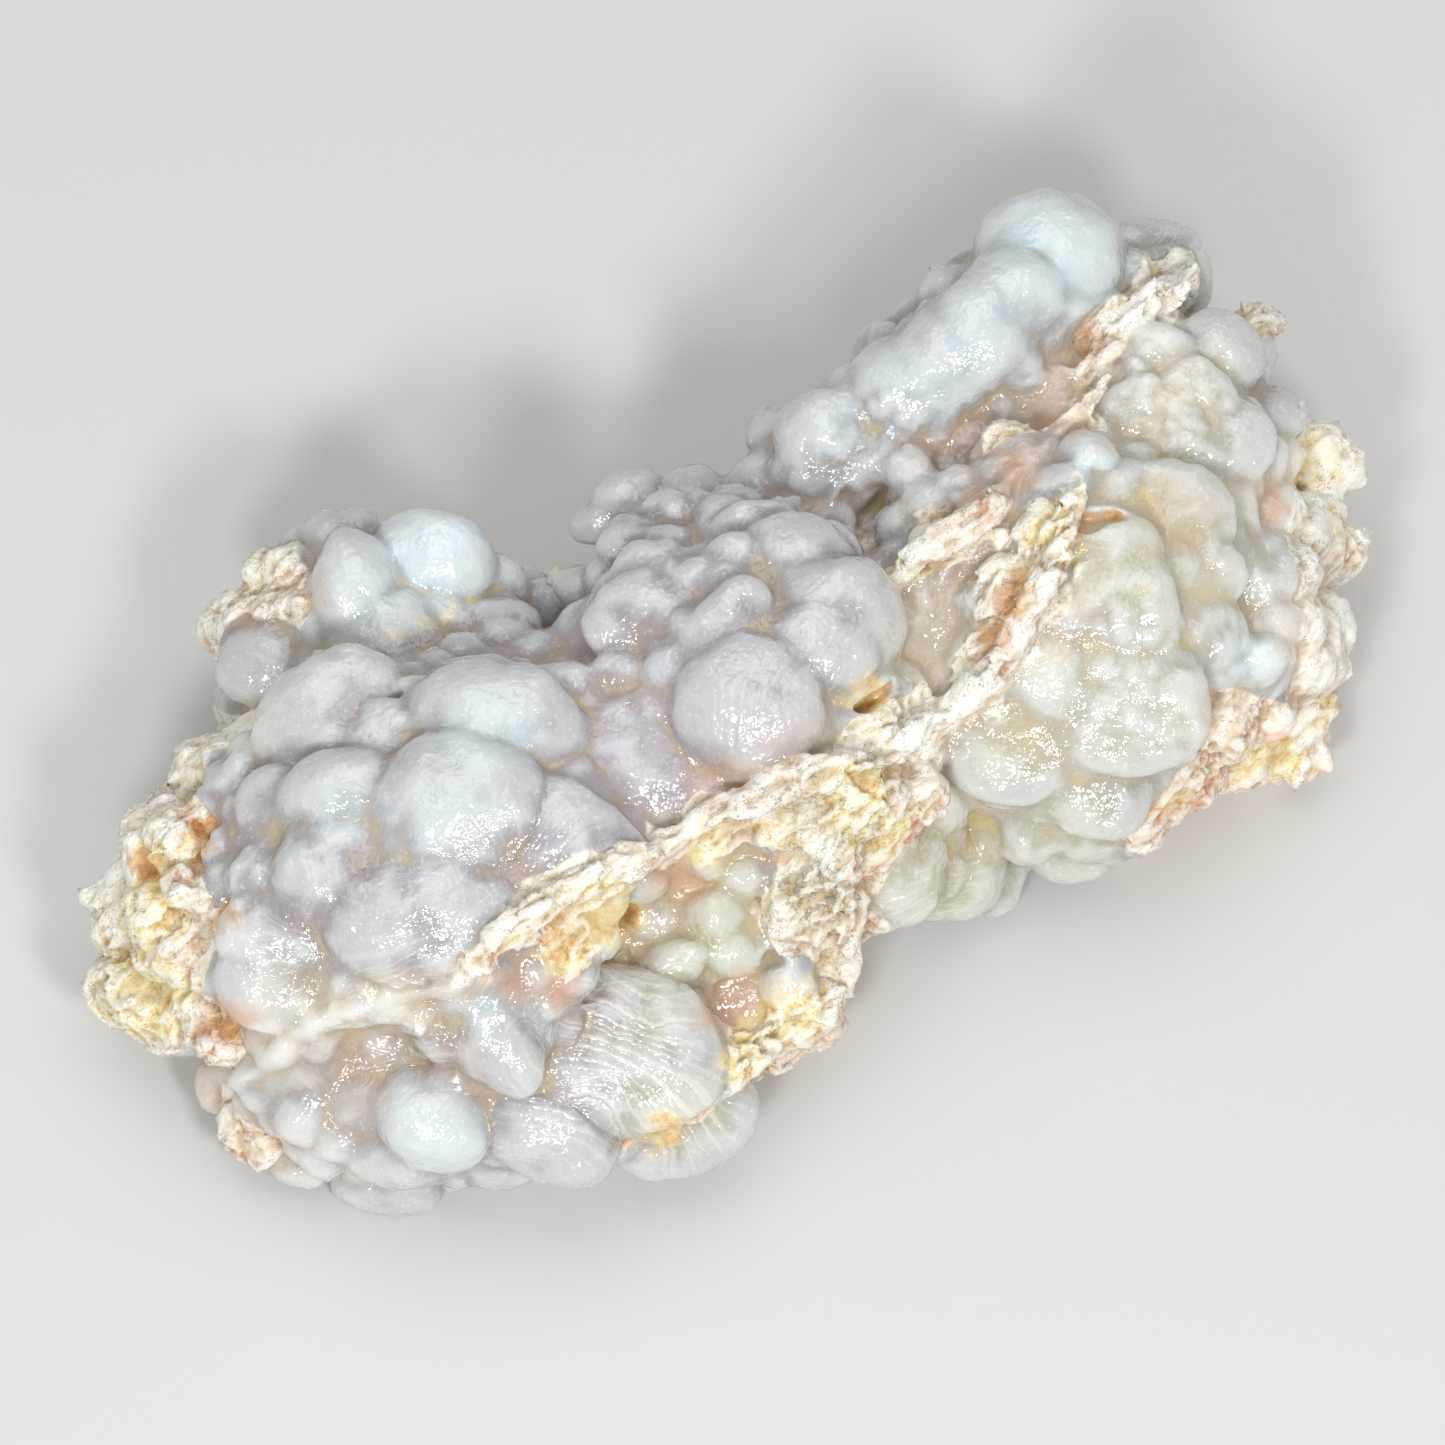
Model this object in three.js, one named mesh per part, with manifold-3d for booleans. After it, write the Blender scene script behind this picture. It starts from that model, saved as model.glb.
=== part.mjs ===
// A hand specimen of botryoidal pink opal: one stone, a crust of milky rounded lumps on a
// broken plate of pink and cream matrix, lying with its display face up on a flat broken base.
// Millimetres, +Z up. The origin is on the base, under the middle of the stone, and +X runs
// along the stone's length.
//
// The forms are set out as an eye sees them that looks down on the stone: "across" and "up"
// are measured square to the line of sight, from a point near the middle of the display face.
// Each form sits where its line of sight meets the body of the stone.
import * as THREE from "three";
import { mergeVertices } from "three/addons/utils/BufferGeometryUtils.js";
import Module from "manifold-3d";

const SIGHT_ELEVATION = THREE.MathUtils.degToRad(65);
// How far the stone is turned about the upright, so that its length lies along X.
const LENGTH_TURN = THREE.MathUtils.degToRad(-22);
// The middle of the base, as the stone is set out.
const BASE_MIDDLE = [0.3, -7.3, 0];
const TALLEST = 60;
// A lump's centre lies under the surface it grew on by this share of its depth.
const LUMP_SINK = 0.45;
// Below the eye-level outline that was measured, a lump is a little wider where it joins the body.
const LUMP_SWELL = 1.1;
const CRAG_SPACING = 2.6;
const CRAG_ROOT = 2.4;
const CRAG_SINK = 0.65;
// Slivers where forms meet: edges shorter than this are closed up, unless a face would turn over.
const SHORTEST_EDGE = 0.95;
const SLIVER_PASSES = 5;
const SLIVER_AREA = 0.01;
const LEAST_FACING = 0.5;
const BASE_TOUCH = 1e-3;
const CRAG_ROUGHNESS = 0.16;
const BODY_ROUGHNESS = 0.02;
// How far a crag strays from its edge's lift, width (as a share of it) and heading (in degrees).
const CRAG_STRAY = { lift: 0.8, width: 0.4, turn: 24 };
// A lump deeper than these is made of finer faces.
const FINE_FROM = 1.9;
const FINEST_FROM = 3.3;
const MERGE_WITHIN = 1e-4;
// Where each kind of form starts in the run of repeatable numbers.
const BODY_SEED = 900;
const BACK_SEED = 500;
const EDGE_SEEDS = 41;
const CORNER_SEEDS = 97;

// The body of the stone: [x, y, z, half-length, half-width, half-height, turn in degrees].
const BODY = [
  [-19, -18, 9, 20, 17, 15, 12],
  [-34, -20, 7, 8, 9, 11, 20],
  [-24, -1, 9, 11, 8.5, 10, 0],
  [1, -7, 10, 14, 16, 15, 20],
  [8, 9, 10, 8, 8, 11, 0],
  [21, 1.5, 10, 16, 16, 14, 0],
  [18.5, 17, 14, 14, 7, 10, 38],
  [29.5, 12, 11, 8.5, 10, 11, 0],
  [34.5, 3, 8, 6, 11, 10, 0],
  [-16, -30.5, 7, 17, 6.5, 8.5, 6],
  [0.5, -23, 7, 6.5, 6, 7, 0],
];

// Lumps: [across, up, lift towards the eye, half-length, half-width, turn in degrees].
const FIELD = [
  [-20.5, 9.5, 0.7, 3.9, 3.2, 0],
  [-25.6, 7.3, 0.5, 2.6, 4.1, 0],
  [-23.4, 3.8, 0.3, 2.6, 2.2, 0],
  [-26.6, -1.7, 0.4, 3.7, 3.4, 20],
  [-31.4, 2.4, 0, 3.2, 3.0, 0],
  [-25.6, -7.1, 0.3, 3.3, 2.5, 0],
  [-30.5, -7.3, 0.1, 1.7, 2.2, 0],
  [-32.6, -5.7, -0.1, 1.1, 1.8, 0],
  [-22.9, -2.9, 0.1, 1.8, 1.9, 0],
  [-20.9, -0.7, 0.1, 1.4, 1.7, 0],
  [-16.4, -2.3, 0.6, 4.0, 3.3, 0],
  [-18.5, -7.8, 0.5, 4.2, 3.6, 10],
  [-12.3, -9.3, 0.2, 5.0, 2.6, -12],
  [-6.5, -4.8, 0.5, 4.3, 3.3, 15],
  [-8.7, -0.6, 0.1, 2.6, 1.6, -10],
  [-11.8, 0.0, 0.1, 2.3, 1.8, 0],
  [-11.3, 2.9, 0.3, 4.7, 1.9, -5],
  [-17.0, 4.4, 0.3, 3.7, 2.3, 15],
  [-17.5, 1.2, 0, 3.4, 1.1, 5],
  [-12.0, 6.5, 0.1, 3.5, 1.9, 10],
  [-6.4, 5.1, 0.1, 2.9, 1.5, 0],
  [-5.5, 8.4, 0.3, 1.9, 1.6, 0],
  [-8.6, 8.7, 0.1, 1.1, 1.1, 0],
  [-9.6, 12.0, 0.1, 1.7, 1.4, 0],
  [-6.9, 13.2, 0.2, 3.0, 2.2, 0],
  [-2.7, 13.3, 0.4, 2.5, 2.6, 0],
  [1.9, 14.6, 0.4, 2.5, 2.3, 0],
  [-0.5, 12.2, 0.2, 1.9, 1.8, 0],
  [-5.8, 10.6, 0.1, 3.2, 1.4, 0],
  [3.7, 8.9, 0.3, 2.6, 2.5, 0],
  [-0.1, 8.7, 0.1, 1.5, 1.7, 0],
  [-2.4, 7.7, 0.1, 1.4, 1.3, 0],
  [-5.5, 5.9, 0, 2.7, 1.8, 0],
  [1.0, 11.0, 0, 2.4, 1.6, 20],
  [6.1, 9.7, 0, 1.4, 1.5, 0],
  [6.7, 4.8, 0.5, 3.1, 3.1, 0],
  [5.2, 2.6, 0.2, 3.1, 2.3, 20],
  [1.1, -0.9, 0.5, 3.4, 3.2, -30],
  [-0.5, 4.1, 0.1, 3.2, 1.7, 60],
  [-3.6, 1.7, 0, 1.9, 1.5, 0],
  [-4.7, -0.7, 0, 1.4, 1.4, 0],
  [-30.5, -12.1, 0.1, 2.0, 2.0, 0],
  [-33.8, -10.3, 0.1, 1.2, 1.1, 0],
  [-33.3, -12.3, 0, 1.0, 1.3, 0],
  [-26.3, -11.6, 0.2, 3.1, 2.8, 0],
  [-29.2, -15.5, 0.2, 3.8, 2.2, 10],
  [-29.7, -18.2, 0.2, 3.6, 2.2, 15],
  [-20.6, -14.4, 0.5, 4.4, 3.1, 5],
  [-25.5, -17.4, 0, 1.3, 1.4, 0],
  [-22.9, -18.4, 0, 2.2, 1.1, 10],
];

const LONG_ROLL = [
  [21.4, 30.0, 0.7, 4.8, 4.6, 0],
  [29.5, 30.0, 0.2, 3.8, 2.8, -35],
  [18.9, 27.0, 0.5, 3.7, 3.5, 45],
  [16.5, 24.4, 0.5, 3.9, 3.6, 40],
  [14.0, 22.7, 0.5, 3.9, 3.5, 40],
  [11.4, 21.1, 0.5, 3.7, 3.4, 40],
  [8.7, 19.5, 0.5, 3.6, 3.3, 35],
  [6.1, 17.9, 0.6, 3.2, 3.1, 20],
  [9.9, 16.4, 0.2, 1.9, 1.7, 0],
  [15.8, 29.4, 0.1, 1.5, 1.4, 0],
  [12.9, 26.3, -0.5, 2.4, 1.5, 40],
  [9.7, 23.9, -0.5, 2.4, 1.4, 45],
];

const VALLEY = [
  [11.7, 15.6, 0.4, 1.7, 1.5, 0],
  [16.8, 18.8, -0.1, 2.6, 1.8, 35],
  [14.7, 15.6, -0.1, 2.2, 1.7, 30],
  [20.3, 20.4, -0.2, 2.2, 1.4, 45],
  [13.3, 5.6, -0.3, 2.6, 3.0, 60],
  [12.0, 1.6, -0.4, 2.0, 1.5, 0],
];

const FRONT_DOMES = [
  [-20.0, -27.8, 0.5, 3.9, 3.5, -15],
  [-22.4, -29.7, 0.2, 3.6, 2.9, 0],
  [-13.2, -28.2, 0.4, 5.4, 3.3, -35],
  [-15.6, -31.0, 0, 2.8, 1.7, 0],
  [-29.0, -27.6, 0.2, 1.8, 1.9, 0],
  [-31.4, -26.4, 0.1, 1.5, 1.3, 0],
  [-23.7, -32.8, -0.3, 3.6, 1.8, -10],
  [-29.5, -31.4, -0.2, 1.8, 1.4, -30],
  [-35.2, -25.8, -0.2, 1.4, 2.0, 0],
  [-17.0, -21.0, 0.5, 2.2, 2.1, 0],
  [-14.9, -23.4, 0.3, 3.4, 2.1, -52],
  [-8.3, -23.4, 0.1, 5.3, 3.9, -12],
  [-4.0, -27.2, -0.1, 4.6, 3.9, 15],
];

const BUBBLES = [
  [-6.4, -12.2, 0.4, 1.9, 1.6, 0],
  [-5.6, -14.5, 0.3, 1.9, 1.5, 20],
  [-1.6, -14.5, 0.3, 2.3, 2.2, 0],
  [0.9, -11.7, 0.2, 2.2, 1.5, 0],
  [-0.3, -17.0, 0.1, 1.9, 1.6, 0],
  [-4.4, -17.6, 0.1, 2.4, 1.6, 20],
  [3.6, -19.1, 0.2, 1.9, 1.4, 0],
  [6.9, -11.3, 0.3, 1.1, 0.9, 0],
];

const RIGHT_FIELD = [
  [25.7, 0.3, 0.5, 4.4, 3.5, 0],
  [24.0, -5.4, 0.3, 2.7, 2.6, 0],
  [24.5, -9.1, 0.2, 2.1, 1.7, 0],
  [23.1, -10.8, 0, 2.6, 1.6, 0],
  [20.4, -8.9, 0.2, 2.6, 2.1, 0],
  [18.5, -3.1, 0.2, 3.1, 2.6, 0],
  [14.6, -11.6, 0, 4.2, 3.2, 15],
  [11.2, -11.4, 0.1, 3.0, 3.6, 0],
  [17.6, -12.0, 0, 2.4, 2.4, 0],
  [26.1, 5.7, 0.5, 2.7, 2.8, 0],
  [25.1, 9.4, 0.3, 2.7, 2.3, 0],
  [29.3, 12.0, 0.2, 3.1, 2.7, 0],
  [33.3, 12.0, 0.2, 1.6, 2.5, 0],
  [34.2, 14.7, 0.1, 1.2, 1.1, 0],
  [34.3, 7.9, 0.2, 1.5, 1.5, 0],
  [35.0, 2.7, 0.4, 1.8, 1.6, 0],
  [35.9, 16.6, 0.2, 1.5, 1.5, 0],
  [31.2, 8.4, 0.1, 2.0, 1.9, 0],
  [30.6, 4.2, 0.1, 2.1, 2.0, 0],
  [33.0, 17.6, 0.3, 2.2, 2.1, 0],
  [30.0, 17.0, 0.2, 2.1, 1.8, 0],
  [27.6, 18.8, 0.2, 2.2, 2.0, 0],
  [28.2, 22.2, 0.2, 2.1, 2.1, 0],
  [31.3, 20.4, 0.2, 2.0, 1.7, 0],
  [23.7, 16.2, 0.5, 1.5, 1.4, 0],
  [21.7, 13.9, 0.2, 1.6, 1.3, 30],
  [32.8, 23.3, 0.3, 3.3, 2.9, 0],
  [36.0, 23.6, 0.1, 1.3, 1.6, 0],
  [21.2, 2.0, 0.1, 2.4, 2.0, 30],
];

// Broken edges of the plate: each is a line of [across, up, lift, half-width] that crags follow.
const BROKEN_EDGES = [
  [
    [7.8, -4.5, 1.0, 1.7],
    [4.3, -5.2, 1.1, 1.4],
    [0.0, -7.1, 1.1, 1.2],
    [-4.5, -9.5, 1.1, 1.1],
    [-8.3, -11.3, 1.1, 1.4],
    [-12.2, -13.5, 1.0, 1.4],
    [-15.9, -16.3, 0.9, 1.2],
    [-19.0, -18.8, 0.7, 1.0],
    [-23.3, -19.7, 0.5, 1.1],
    [-28.0, -21.2, 0.5, 1.4],
    [-31.4, -24.0, 0.3, 1.4],
  ],
  [
    [29.3, 27.6, 0.7, 1.7],
    [25.8, 23.6, 1.0, 1.6],
    [23.3, 19.5, 0.9, 1.5],
    [18.7, 15.0, 0.7, 1.3],
    [14.3, 11.0, 0.8, 1.5],
    [10.3, 7.7, 0.6, 1.2],
  ],
  [
    [22.0, 11.5, 0.5, 1.0],
    [21.3, 9.3, 0.6, 1.3],
    [18.7, 4.5, 0.7, 1.1],
    [14.7, -0.7, 0.7, 1.1],
    [10.0, -3.0, 0.7, 1.2],
  ],
  [
    [7.6, -8.0, 0.5, 1.2],
    [7.2, -14.5, 0.2, 1.0],
    [6.6, -19.0, 0.2, 1.2],
    [3.4, -22.0, 0.3, 1.5],
    [-0.6, -24.6, 0.3, 1.3],
    [-4.6, -27.4, 0.5, 1.0],
  ],
  [
    [-35.0, -3.8, 0.1, 1.2],
    [-38.6, -7.2, 0.1, 1.4],
    [-41.2, -11.4, 0.1, 1.3],
  ],
  [
    [39.0, 17.2, 0, 1.8],
    [41.0, 13.4, 0, 1.8],
    [38.6, 9.8, 0.2, 1.8],
    [39.6, 4.2, 0.1, 1.6],
    [39.4, -0.4, 0.1, 1.6],
    [37.6, -4.2, 0, 1.6],
    [33.2, -4.8, 0, 1.4],
    [29.0, -6.8, 0, 1.4],
    [26.6, -9.2, -0.1, 1.2],
  ],
];

// Crusty knobs of matrix: [across, up, lift, half-length, half-width, turn in degrees].
const CRUST_KNOBS = [
  [-39.7, -19.6, 0.2, 3.8, 3.2, 0],
  [-41.6, -13.7, 0.0, 2.0, 2.2, 0],
  [-38.8, -14.2, 0.4, 2.6, 2.3, 0],
  [-36.1, -13.3, 0.6, 2.9, 1.4, -50],
  [-37.0, -9.4, 0.4, 2.4, 2.4, 0],
  [-36.6, -16.8, 0.3, 2.4, 2.1, 0],
  [-33.4, 5.6, -0.4, 2.0, 2.1, 0],
  [-29.2, 6.8, -0.8, 2.6, 1.2, 10],
  [-34.4, -0.4, -0.2, 1.5, 2.2, 0],
  [-34.0, -22.0, 0.0, 2.6, 2.4, -40],
  [-32.8, -28.8, -0.6, 2.0, 2.6, 40],
  [40.6, 16.2, 0.0, 2.8, 2.8, 0],
  [41.6, 9.8, -0.4, 2.8, 1.8, 55],
  [39.9, 3.3, 0.0, 1.9, 3.6, 0],
  [33.2, -1.5, 0.4, 2.3, 2.8, 0],
  [38.8, -3.4, 0.0, 2.2, 2.2, 0],
  [28.4, -6.6, -0.2, 3.4, 1.8, 45],
  [8.1, -6.6, 0.8, 3.2, 2.6, 0],
  [11.4, -6.4, 0.2, 2.8, 2.2, 30],
  [4.3, -13.0, 0.0, 3.0, 3.2, 0],
  [4.4, -20.9, 0.0, 3.0, 2.8, 30],
  [1.6, -23.0, 0.2, 2.2, 1.7, 40],
  [36.0, 26.2, -0.2, 1.8, 1.4, 0],
];

// Pockets in the body, which the lumps then line: laid out as the lumps are, with a lift that says
// how far the middle of the pocket is above the body's surface.
const POCKETS = [
  [-4.5, -14.8, 0.4, 10.0, 3.6, 27],
  [17.0, 18.4, 0.2, 9.0, 2.7, 42],
  [9.2, 12.4, 0.2, 3.6, 2.8, 50],
  [15.8, 7.2, 0.0, 6.0, 2.2, 55],
  [1.0, -19.8, 0.0, 3.6, 2.4, 50],
  [-24.0, -24.0, 0.4, 7.0, 2.6, 12],
  [32.4, -1.6, 0.0, 3.6, 1.4, -65],
  [-36.0, -10.6, 0.0, 3.6, 1.5, -50],
];

// Hollows left between the lumps: [across, up, lift of the centre, half-length, half-width, turn].
const HOLLOWS = [
  [9.6, 0.4, 0.8, 2.2, 1.0, -30],
  [23.8, 25.4, 1.0, 4.0, 1.2, 50],
  [-39.6, -11.0, 1.2, 1.3, 1.1, 0],
  [-35.6, -9.2, 1.0, 1.9, 0.7, -50],
  [-33.4, -14.6, 0.8, 1.2, 1.0, 0],
  [36.8, -3.0, 1.4, 1.2, 1.3, 0],
  [31.0, -2.6, 0.8, 2.2, 0.6, -65],
  [-4.6, -29.0, 1.8, 1.6, 0.9, 0],
  [23.9, 12.3, 0.9, 2.0, 0.8, 8],
  [-22.4, -0.1, 0.9, 1.2, 0.7, 70],
];

// The hidden back and underside carry lumps of their own, scattered over this grid.
const BACK = { acrossFrom: -36, acrossTo: 38, acrossStep: 9, upFrom: -30, upTo: 30, upStep: 8 };
const BACK_LUMP = { smallest: 3.6, largest: 5.4, margin: 4, stray: 2.4, sink: 0.3, width: 0.9, depth: 0.8 };

const NEAR = 1;
const FAR = -1;

const across = new THREE.Vector3(1, 0, 0);
const up = new THREE.Vector3(0, Math.sin(SIGHT_ELEVATION), Math.cos(SIGHT_ELEVATION));
const towardsEye = new THREE.Vector3().crossVectors(across, up);

// A repeatable number from 0 to 1 for each whole number.
function chance(n) {
  const wave = Math.sin(n * 12.9898 + 4.1414) * 43758.5453;
  return wave - Math.floor(wave);
}

// The matrix that turns a unit ball into one of the body's masses.
function massMatrix([x, y, z, halfLength, halfWidth, halfHeight, turn]) {
  return new THREE.Matrix4()
    .makeTranslation(x, y, z)
    .multiply(new THREE.Matrix4().makeRotationZ(THREE.MathUtils.degToRad(turn)))
    .multiply(new THREE.Matrix4().makeScale(halfLength, halfWidth, halfHeight));
}

// Where one line of sight is inside a form that is a stretched ball: from "far" to "near" the eye.
// On a line that misses it, both are the nearest approach, and "short" says by how much it misses.
function stretchInside(inverse, u, v) {
  const start = pointOn(u, v, 0);
  const p = start.clone().applyMatrix4(inverse);
  const d = start.clone().add(towardsEye).applyMatrix4(inverse).sub(p);
  const a = d.dot(d);
  const b = p.dot(d);
  const inside = b * b - a * (p.dot(p) - 1);
  const half = Math.sqrt(Math.max(inside, 0)) / a;
  return { far: -b / a - half, near: -b / a + half, short: Math.max(-inside / a, 0) };
}

// How far towards the eye the whole body's surface is on one line of sight.
function bodyDepth(u, v, side) {
  const stretches = massInverses.map((inverse) => stretchInside(inverse, u, v));
  const hits = stretches.filter((stretch) => stretch.short === 0);
  if (hits.length) {
    const depths = hits.map((hit) => (side === NEAR ? hit.near : hit.far));
    return side * Math.max(...depths.map((depth) => side * depth));
  }
  return stretches.reduce((best, stretch) => (stretch.short < best.short ? stretch : best)).near;
}

// The same on the near side, once the pockets are carved out.
function floorDepth(u, v) {
  let depth = bodyDepth(u, v, NEAR);
  for (const inverse of pocketInverses) {
    const pocket = stretchInside(inverse, u, v);
    if (pocket.short === 0 && pocket.far < depth && depth < pocket.near) depth = pocket.far;
  }
  return depth;
}

function pointOn(u, v, depth) {
  return across.clone().multiplyScalar(u).addScaledVector(up, v).addScaledVector(towardsEye, depth);
}

// Places a unit form square to the line of sight, turned in the view and stretched.
function placed(centre, halfLength, halfWidth, halfDepth, turn) {
  const angle = THREE.MathUtils.degToRad(turn);
  return new THREE.Matrix4()
    .makeTranslation(centre.x, centre.y, centre.z)
    .multiply(new THREE.Matrix4().makeBasis(across, up, towardsEye))
    .multiply(new THREE.Matrix4().makeRotationZ(angle))
    .multiply(new THREE.Matrix4().makeScale(halfLength, halfWidth, halfDepth));
}

const wasm = await Module();
wasm.setup();

function solidFrom(geometry, matrix) {
  const closed = stripped(geometry.clone().applyMatrix4(matrix));
  const merged = mergeVertices(closed, MERGE_WITHIN);
  return new wasm.Manifold(
    new wasm.Mesh({
      numProp: 3,
      vertProperties: new Float32Array(merged.attributes.position.array),
      triVerts: new Uint32Array(merged.index.array),
    }),
  );
}

function ball(detail) {
  return new THREE.IcosahedronGeometry(1, detail);
}

// A ball with its corners pushed in and out, for broken rock.
function crag(detail, seed, roughness) {
  const geometry = mergeVertices(stripped(ball(detail)), MERGE_WITHIN);
  const position = geometry.attributes.position;
  const corner = new THREE.Vector3();
  for (let i = 0; i < position.count; i++) {
    corner.fromBufferAttribute(position, i);
    corner.multiplyScalar(1 + roughness * (2 * chance(seed * CORNER_SEEDS + i) - 1));
    position.setXYZ(i, corner.x, corner.y, corner.z);
  }
  return geometry;
}

function stripped(geometry) {
  geometry.deleteAttribute("normal");
  geometry.deleteAttribute("uv");
  return geometry;
}

// A form set out as the tables say, with its centre this far towards the eye.
function formMatrix([u, v, , halfLength, halfWidth, turn], depth, halfDepth) {
  return placed(pointOn(u, v, depth), halfLength, halfWidth, halfDepth, turn);
}

const massInverses = BODY.map((mass) => massMatrix(mass).invert());
const pocketMatrices = POCKETS.map((row) => {
  const [u, v, lift, , halfWidth] = row;
  return formMatrix(row, bodyDepth(u, v, NEAR) + lift, halfWidth);
});
const pocketInverses = pocketMatrices.map((matrix) => matrix.clone().invert());

function lumpSolid([u, v, lift, halfLength, halfWidth, turn]) {
  const halfDepth = LUMP_SWELL * Math.min(halfLength, halfWidth);
  const centre = pointOn(u, v, floorDepth(u, v) + lift - LUMP_SINK * halfDepth);
  const detail = 1 + (halfDepth > FINE_FROM) + (halfDepth > FINEST_FROM);
  const matrix = placed(centre, LUMP_SWELL * halfLength, LUMP_SWELL * halfWidth, halfDepth, turn);
  return solidFrom(ball(detail), matrix);
}

function knobSolid([u, v, lift, halfLength, halfWidth, turn], index) {
  const halfDepth = Math.max(halfLength, halfWidth);
  const centre = pointOn(u, v, bodyDepth(u, v, NEAR) + lift - LUMP_SINK * halfDepth);
  const matrix = placed(centre, halfLength, halfWidth, halfDepth, turn);
  return solidFrom(crag(1, index + 1, CRAG_ROUGHNESS), matrix);
}

// Crags at even steps along a broken edge, each a little different from the last.
function edgeSolids(line, index) {
  const places = line.map(([u, v]) => new THREE.Vector3(u, v, 0));
  const liftsAndWidths = line.map(([, , lift, width]) => new THREE.Vector3(lift, width, 0));
  const curve = new THREE.CatmullRomCurve3(places);
  const measures = new THREE.CatmullRomCurve3(liftsAndWidths);
  const count = Math.round(curve.getLength() / CRAG_SPACING);
  const solids = [];
  for (let i = 0; i <= count; i++) {
    const t = curve.getUtoTmapping(i / count);
    const at = curve.getPoint(t);
    const tangent = curve.getTangent(t);
    const heading = THREE.MathUtils.radToDeg(Math.atan2(tangent.y, tangent.x));
    const measure = measures.getPoint(t);
    const seed = index * EDGE_SEEDS + i;
    const lift = measure.x + CRAG_STRAY.lift * (chance(seed) - 0.5);
    const halfWidth = measure.y * (1 + CRAG_STRAY.width * (chance(seed + 7) - 0.5));
    const turn = heading + CRAG_STRAY.turn * (chance(seed + 3) - 0.5);
    const halfDepth = halfWidth + CRAG_ROOT;
    const centre = pointOn(at.x, at.y, bodyDepth(at.x, at.y, NEAR) + lift - CRAG_SINK * halfDepth);
    const matrix = placed(centre, CRAG_SPACING, halfWidth, halfDepth, turn);
    solids.push(solidFrom(crag(1, seed, CRAG_ROUGHNESS), matrix));
  }
  return solids;
}

function hollowSolid([u, v, lift, halfLength, halfWidth, turn]) {
  const halfDepth = Math.max(halfLength, halfWidth);
  const centre = pointOn(u, v, bodyDepth(u, v, NEAR) + lift);
  return solidFrom(ball(1), placed(centre, halfLength, halfWidth, halfDepth, turn));
}

// Lumps on the side that the eye doesn't see, kept inside the outline of the body.
function backSolids() {
  const solids = [];
  let seed = BACK_SEED;
  for (let v = BACK.upFrom; v <= BACK.upTo; v += BACK.upStep) {
    for (let u = BACK.acrossFrom; u <= BACK.acrossTo; u += BACK.acrossStep) {
      seed += 1;
      const radius = THREE.MathUtils.lerp(BACK_LUMP.smallest, BACK_LUMP.largest, chance(seed));
      const strayU = u + BACK_LUMP.stray * (chance(seed + 11) - 0.5);
      const strayV = v + BACK_LUMP.stray * (chance(seed + 23) - 0.5);
      const far = bodyDepth(strayU, strayV, FAR);
      const thick = bodyDepth(strayU, strayV, NEAR) - far;
      const sunk = BACK_LUMP.sink * radius;
      const centre = pointOn(strayU, strayV, far + sunk);
      if (thick > 2 * radius + BACK_LUMP.margin && centre.z > sunk) {
        const turn = 90 * chance(seed + 5);
        const matrix = placed(centre, radius, BACK_LUMP.width * radius, BACK_LUMP.depth * radius, turn);
        solids.push(solidFrom(ball(1), matrix));
      }
    }
  }
  return solids;
}

function joined(solids) {
  return solids.reduce((whole, solid) => whole.add(solid));
}

// Everything below the base is cut away, which leaves the flat broken face that it rests on.
function belowBase() {
  const block = new THREE.BoxGeometry(4 * TALLEST, 4 * TALLEST, TALLEST);
  return solidFrom(block, new THREE.Matrix4().makeTranslation(0, 0, -TALLEST / 2));
}

// Pockets sealed up between the forms are filled: only the outer shell is kept.
function outerShell(points, faces) {
  const parent = points.map((_, i) => i);
  const rootOf = (i) => {
    let root = i;
    while (parent[root] !== root) root = parent[root];
    parent[i] = root;
    return root;
  };
  for (const [a, b, c] of faces) {
    parent[rootOf(b)] = rootOf(a);
    parent[rootOf(c)] = rootOf(a);
  }
  const furthest = points.reduce((best, p, i) => (p.x > points[best].x ? i : best), 0);
  return faces.filter(([a]) => rootOf(a) === rootOf(furthest));
}

// Draws the ends of each very short edge together, so that no sliver is left where forms meet.
function withoutSlivers(points, faces) {
  const around = points.map(() => new Set());
  faces.forEach((face, f) => face.forEach((i) => around[i].add(f)));
  const neighbours = (i) => new Set([...around[i]].flatMap((f) => faces[f]).filter((j) => j !== i));
  const onBase = (i) => Math.abs(points[i].z) < BASE_TOUCH;

  const turnsOver = (i, other, to) =>
    [...around[i]].some((f) => {
      if (faces[f].includes(other)) return false;
      const before = new THREE.Triangle(...faces[f].map((j) => points[j]));
      const after = new THREE.Triangle(...faces[f].map((j) => (j === i ? to : points[j])));
      const facing = before.getNormal(new THREE.Vector3()).dot(after.getNormal(new THREE.Vector3()));
      return facing < LEAST_FACING && before.getArea() > SLIVER_AREA;
    });

  const drawTogether = (kept, lost) => {
    if (onBase(kept) !== onBase(lost)) return false;
    const shared = [...neighbours(kept)].filter((j) => neighbours(lost).has(j));
    const middle = points[kept].clone().lerp(points[lost], 0.5);
    if (shared.length !== 2 || turnsOver(kept, lost, middle) || turnsOver(lost, kept, middle)) return false;
    points[kept].copy(middle);
    for (const f of around[lost]) {
      if (faces[f].includes(kept)) {
        faces[f].forEach((j) => around[j].delete(f));
        faces[f] = null;
      } else {
        faces[f] = faces[f].map((j) => (j === lost ? kept : j));
        around[kept].add(f);
      }
    }
    around[lost].clear();
    return true;
  };

  for (let pass = 0; pass < SLIVER_PASSES; pass++) {
    for (let i = 0; i < points.length; i++) {
      const distance = (j) => points[j].distanceTo(points[i]);
      const near = [...neighbours(i)].sort((a, b) => distance(a) - distance(b));
      for (const j of near) {
        if (distance(j) > SHORTEST_EDGE || drawTogether(i, j)) break;
      }
    }
  }
  return faces.filter((face) => face);
}

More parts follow.
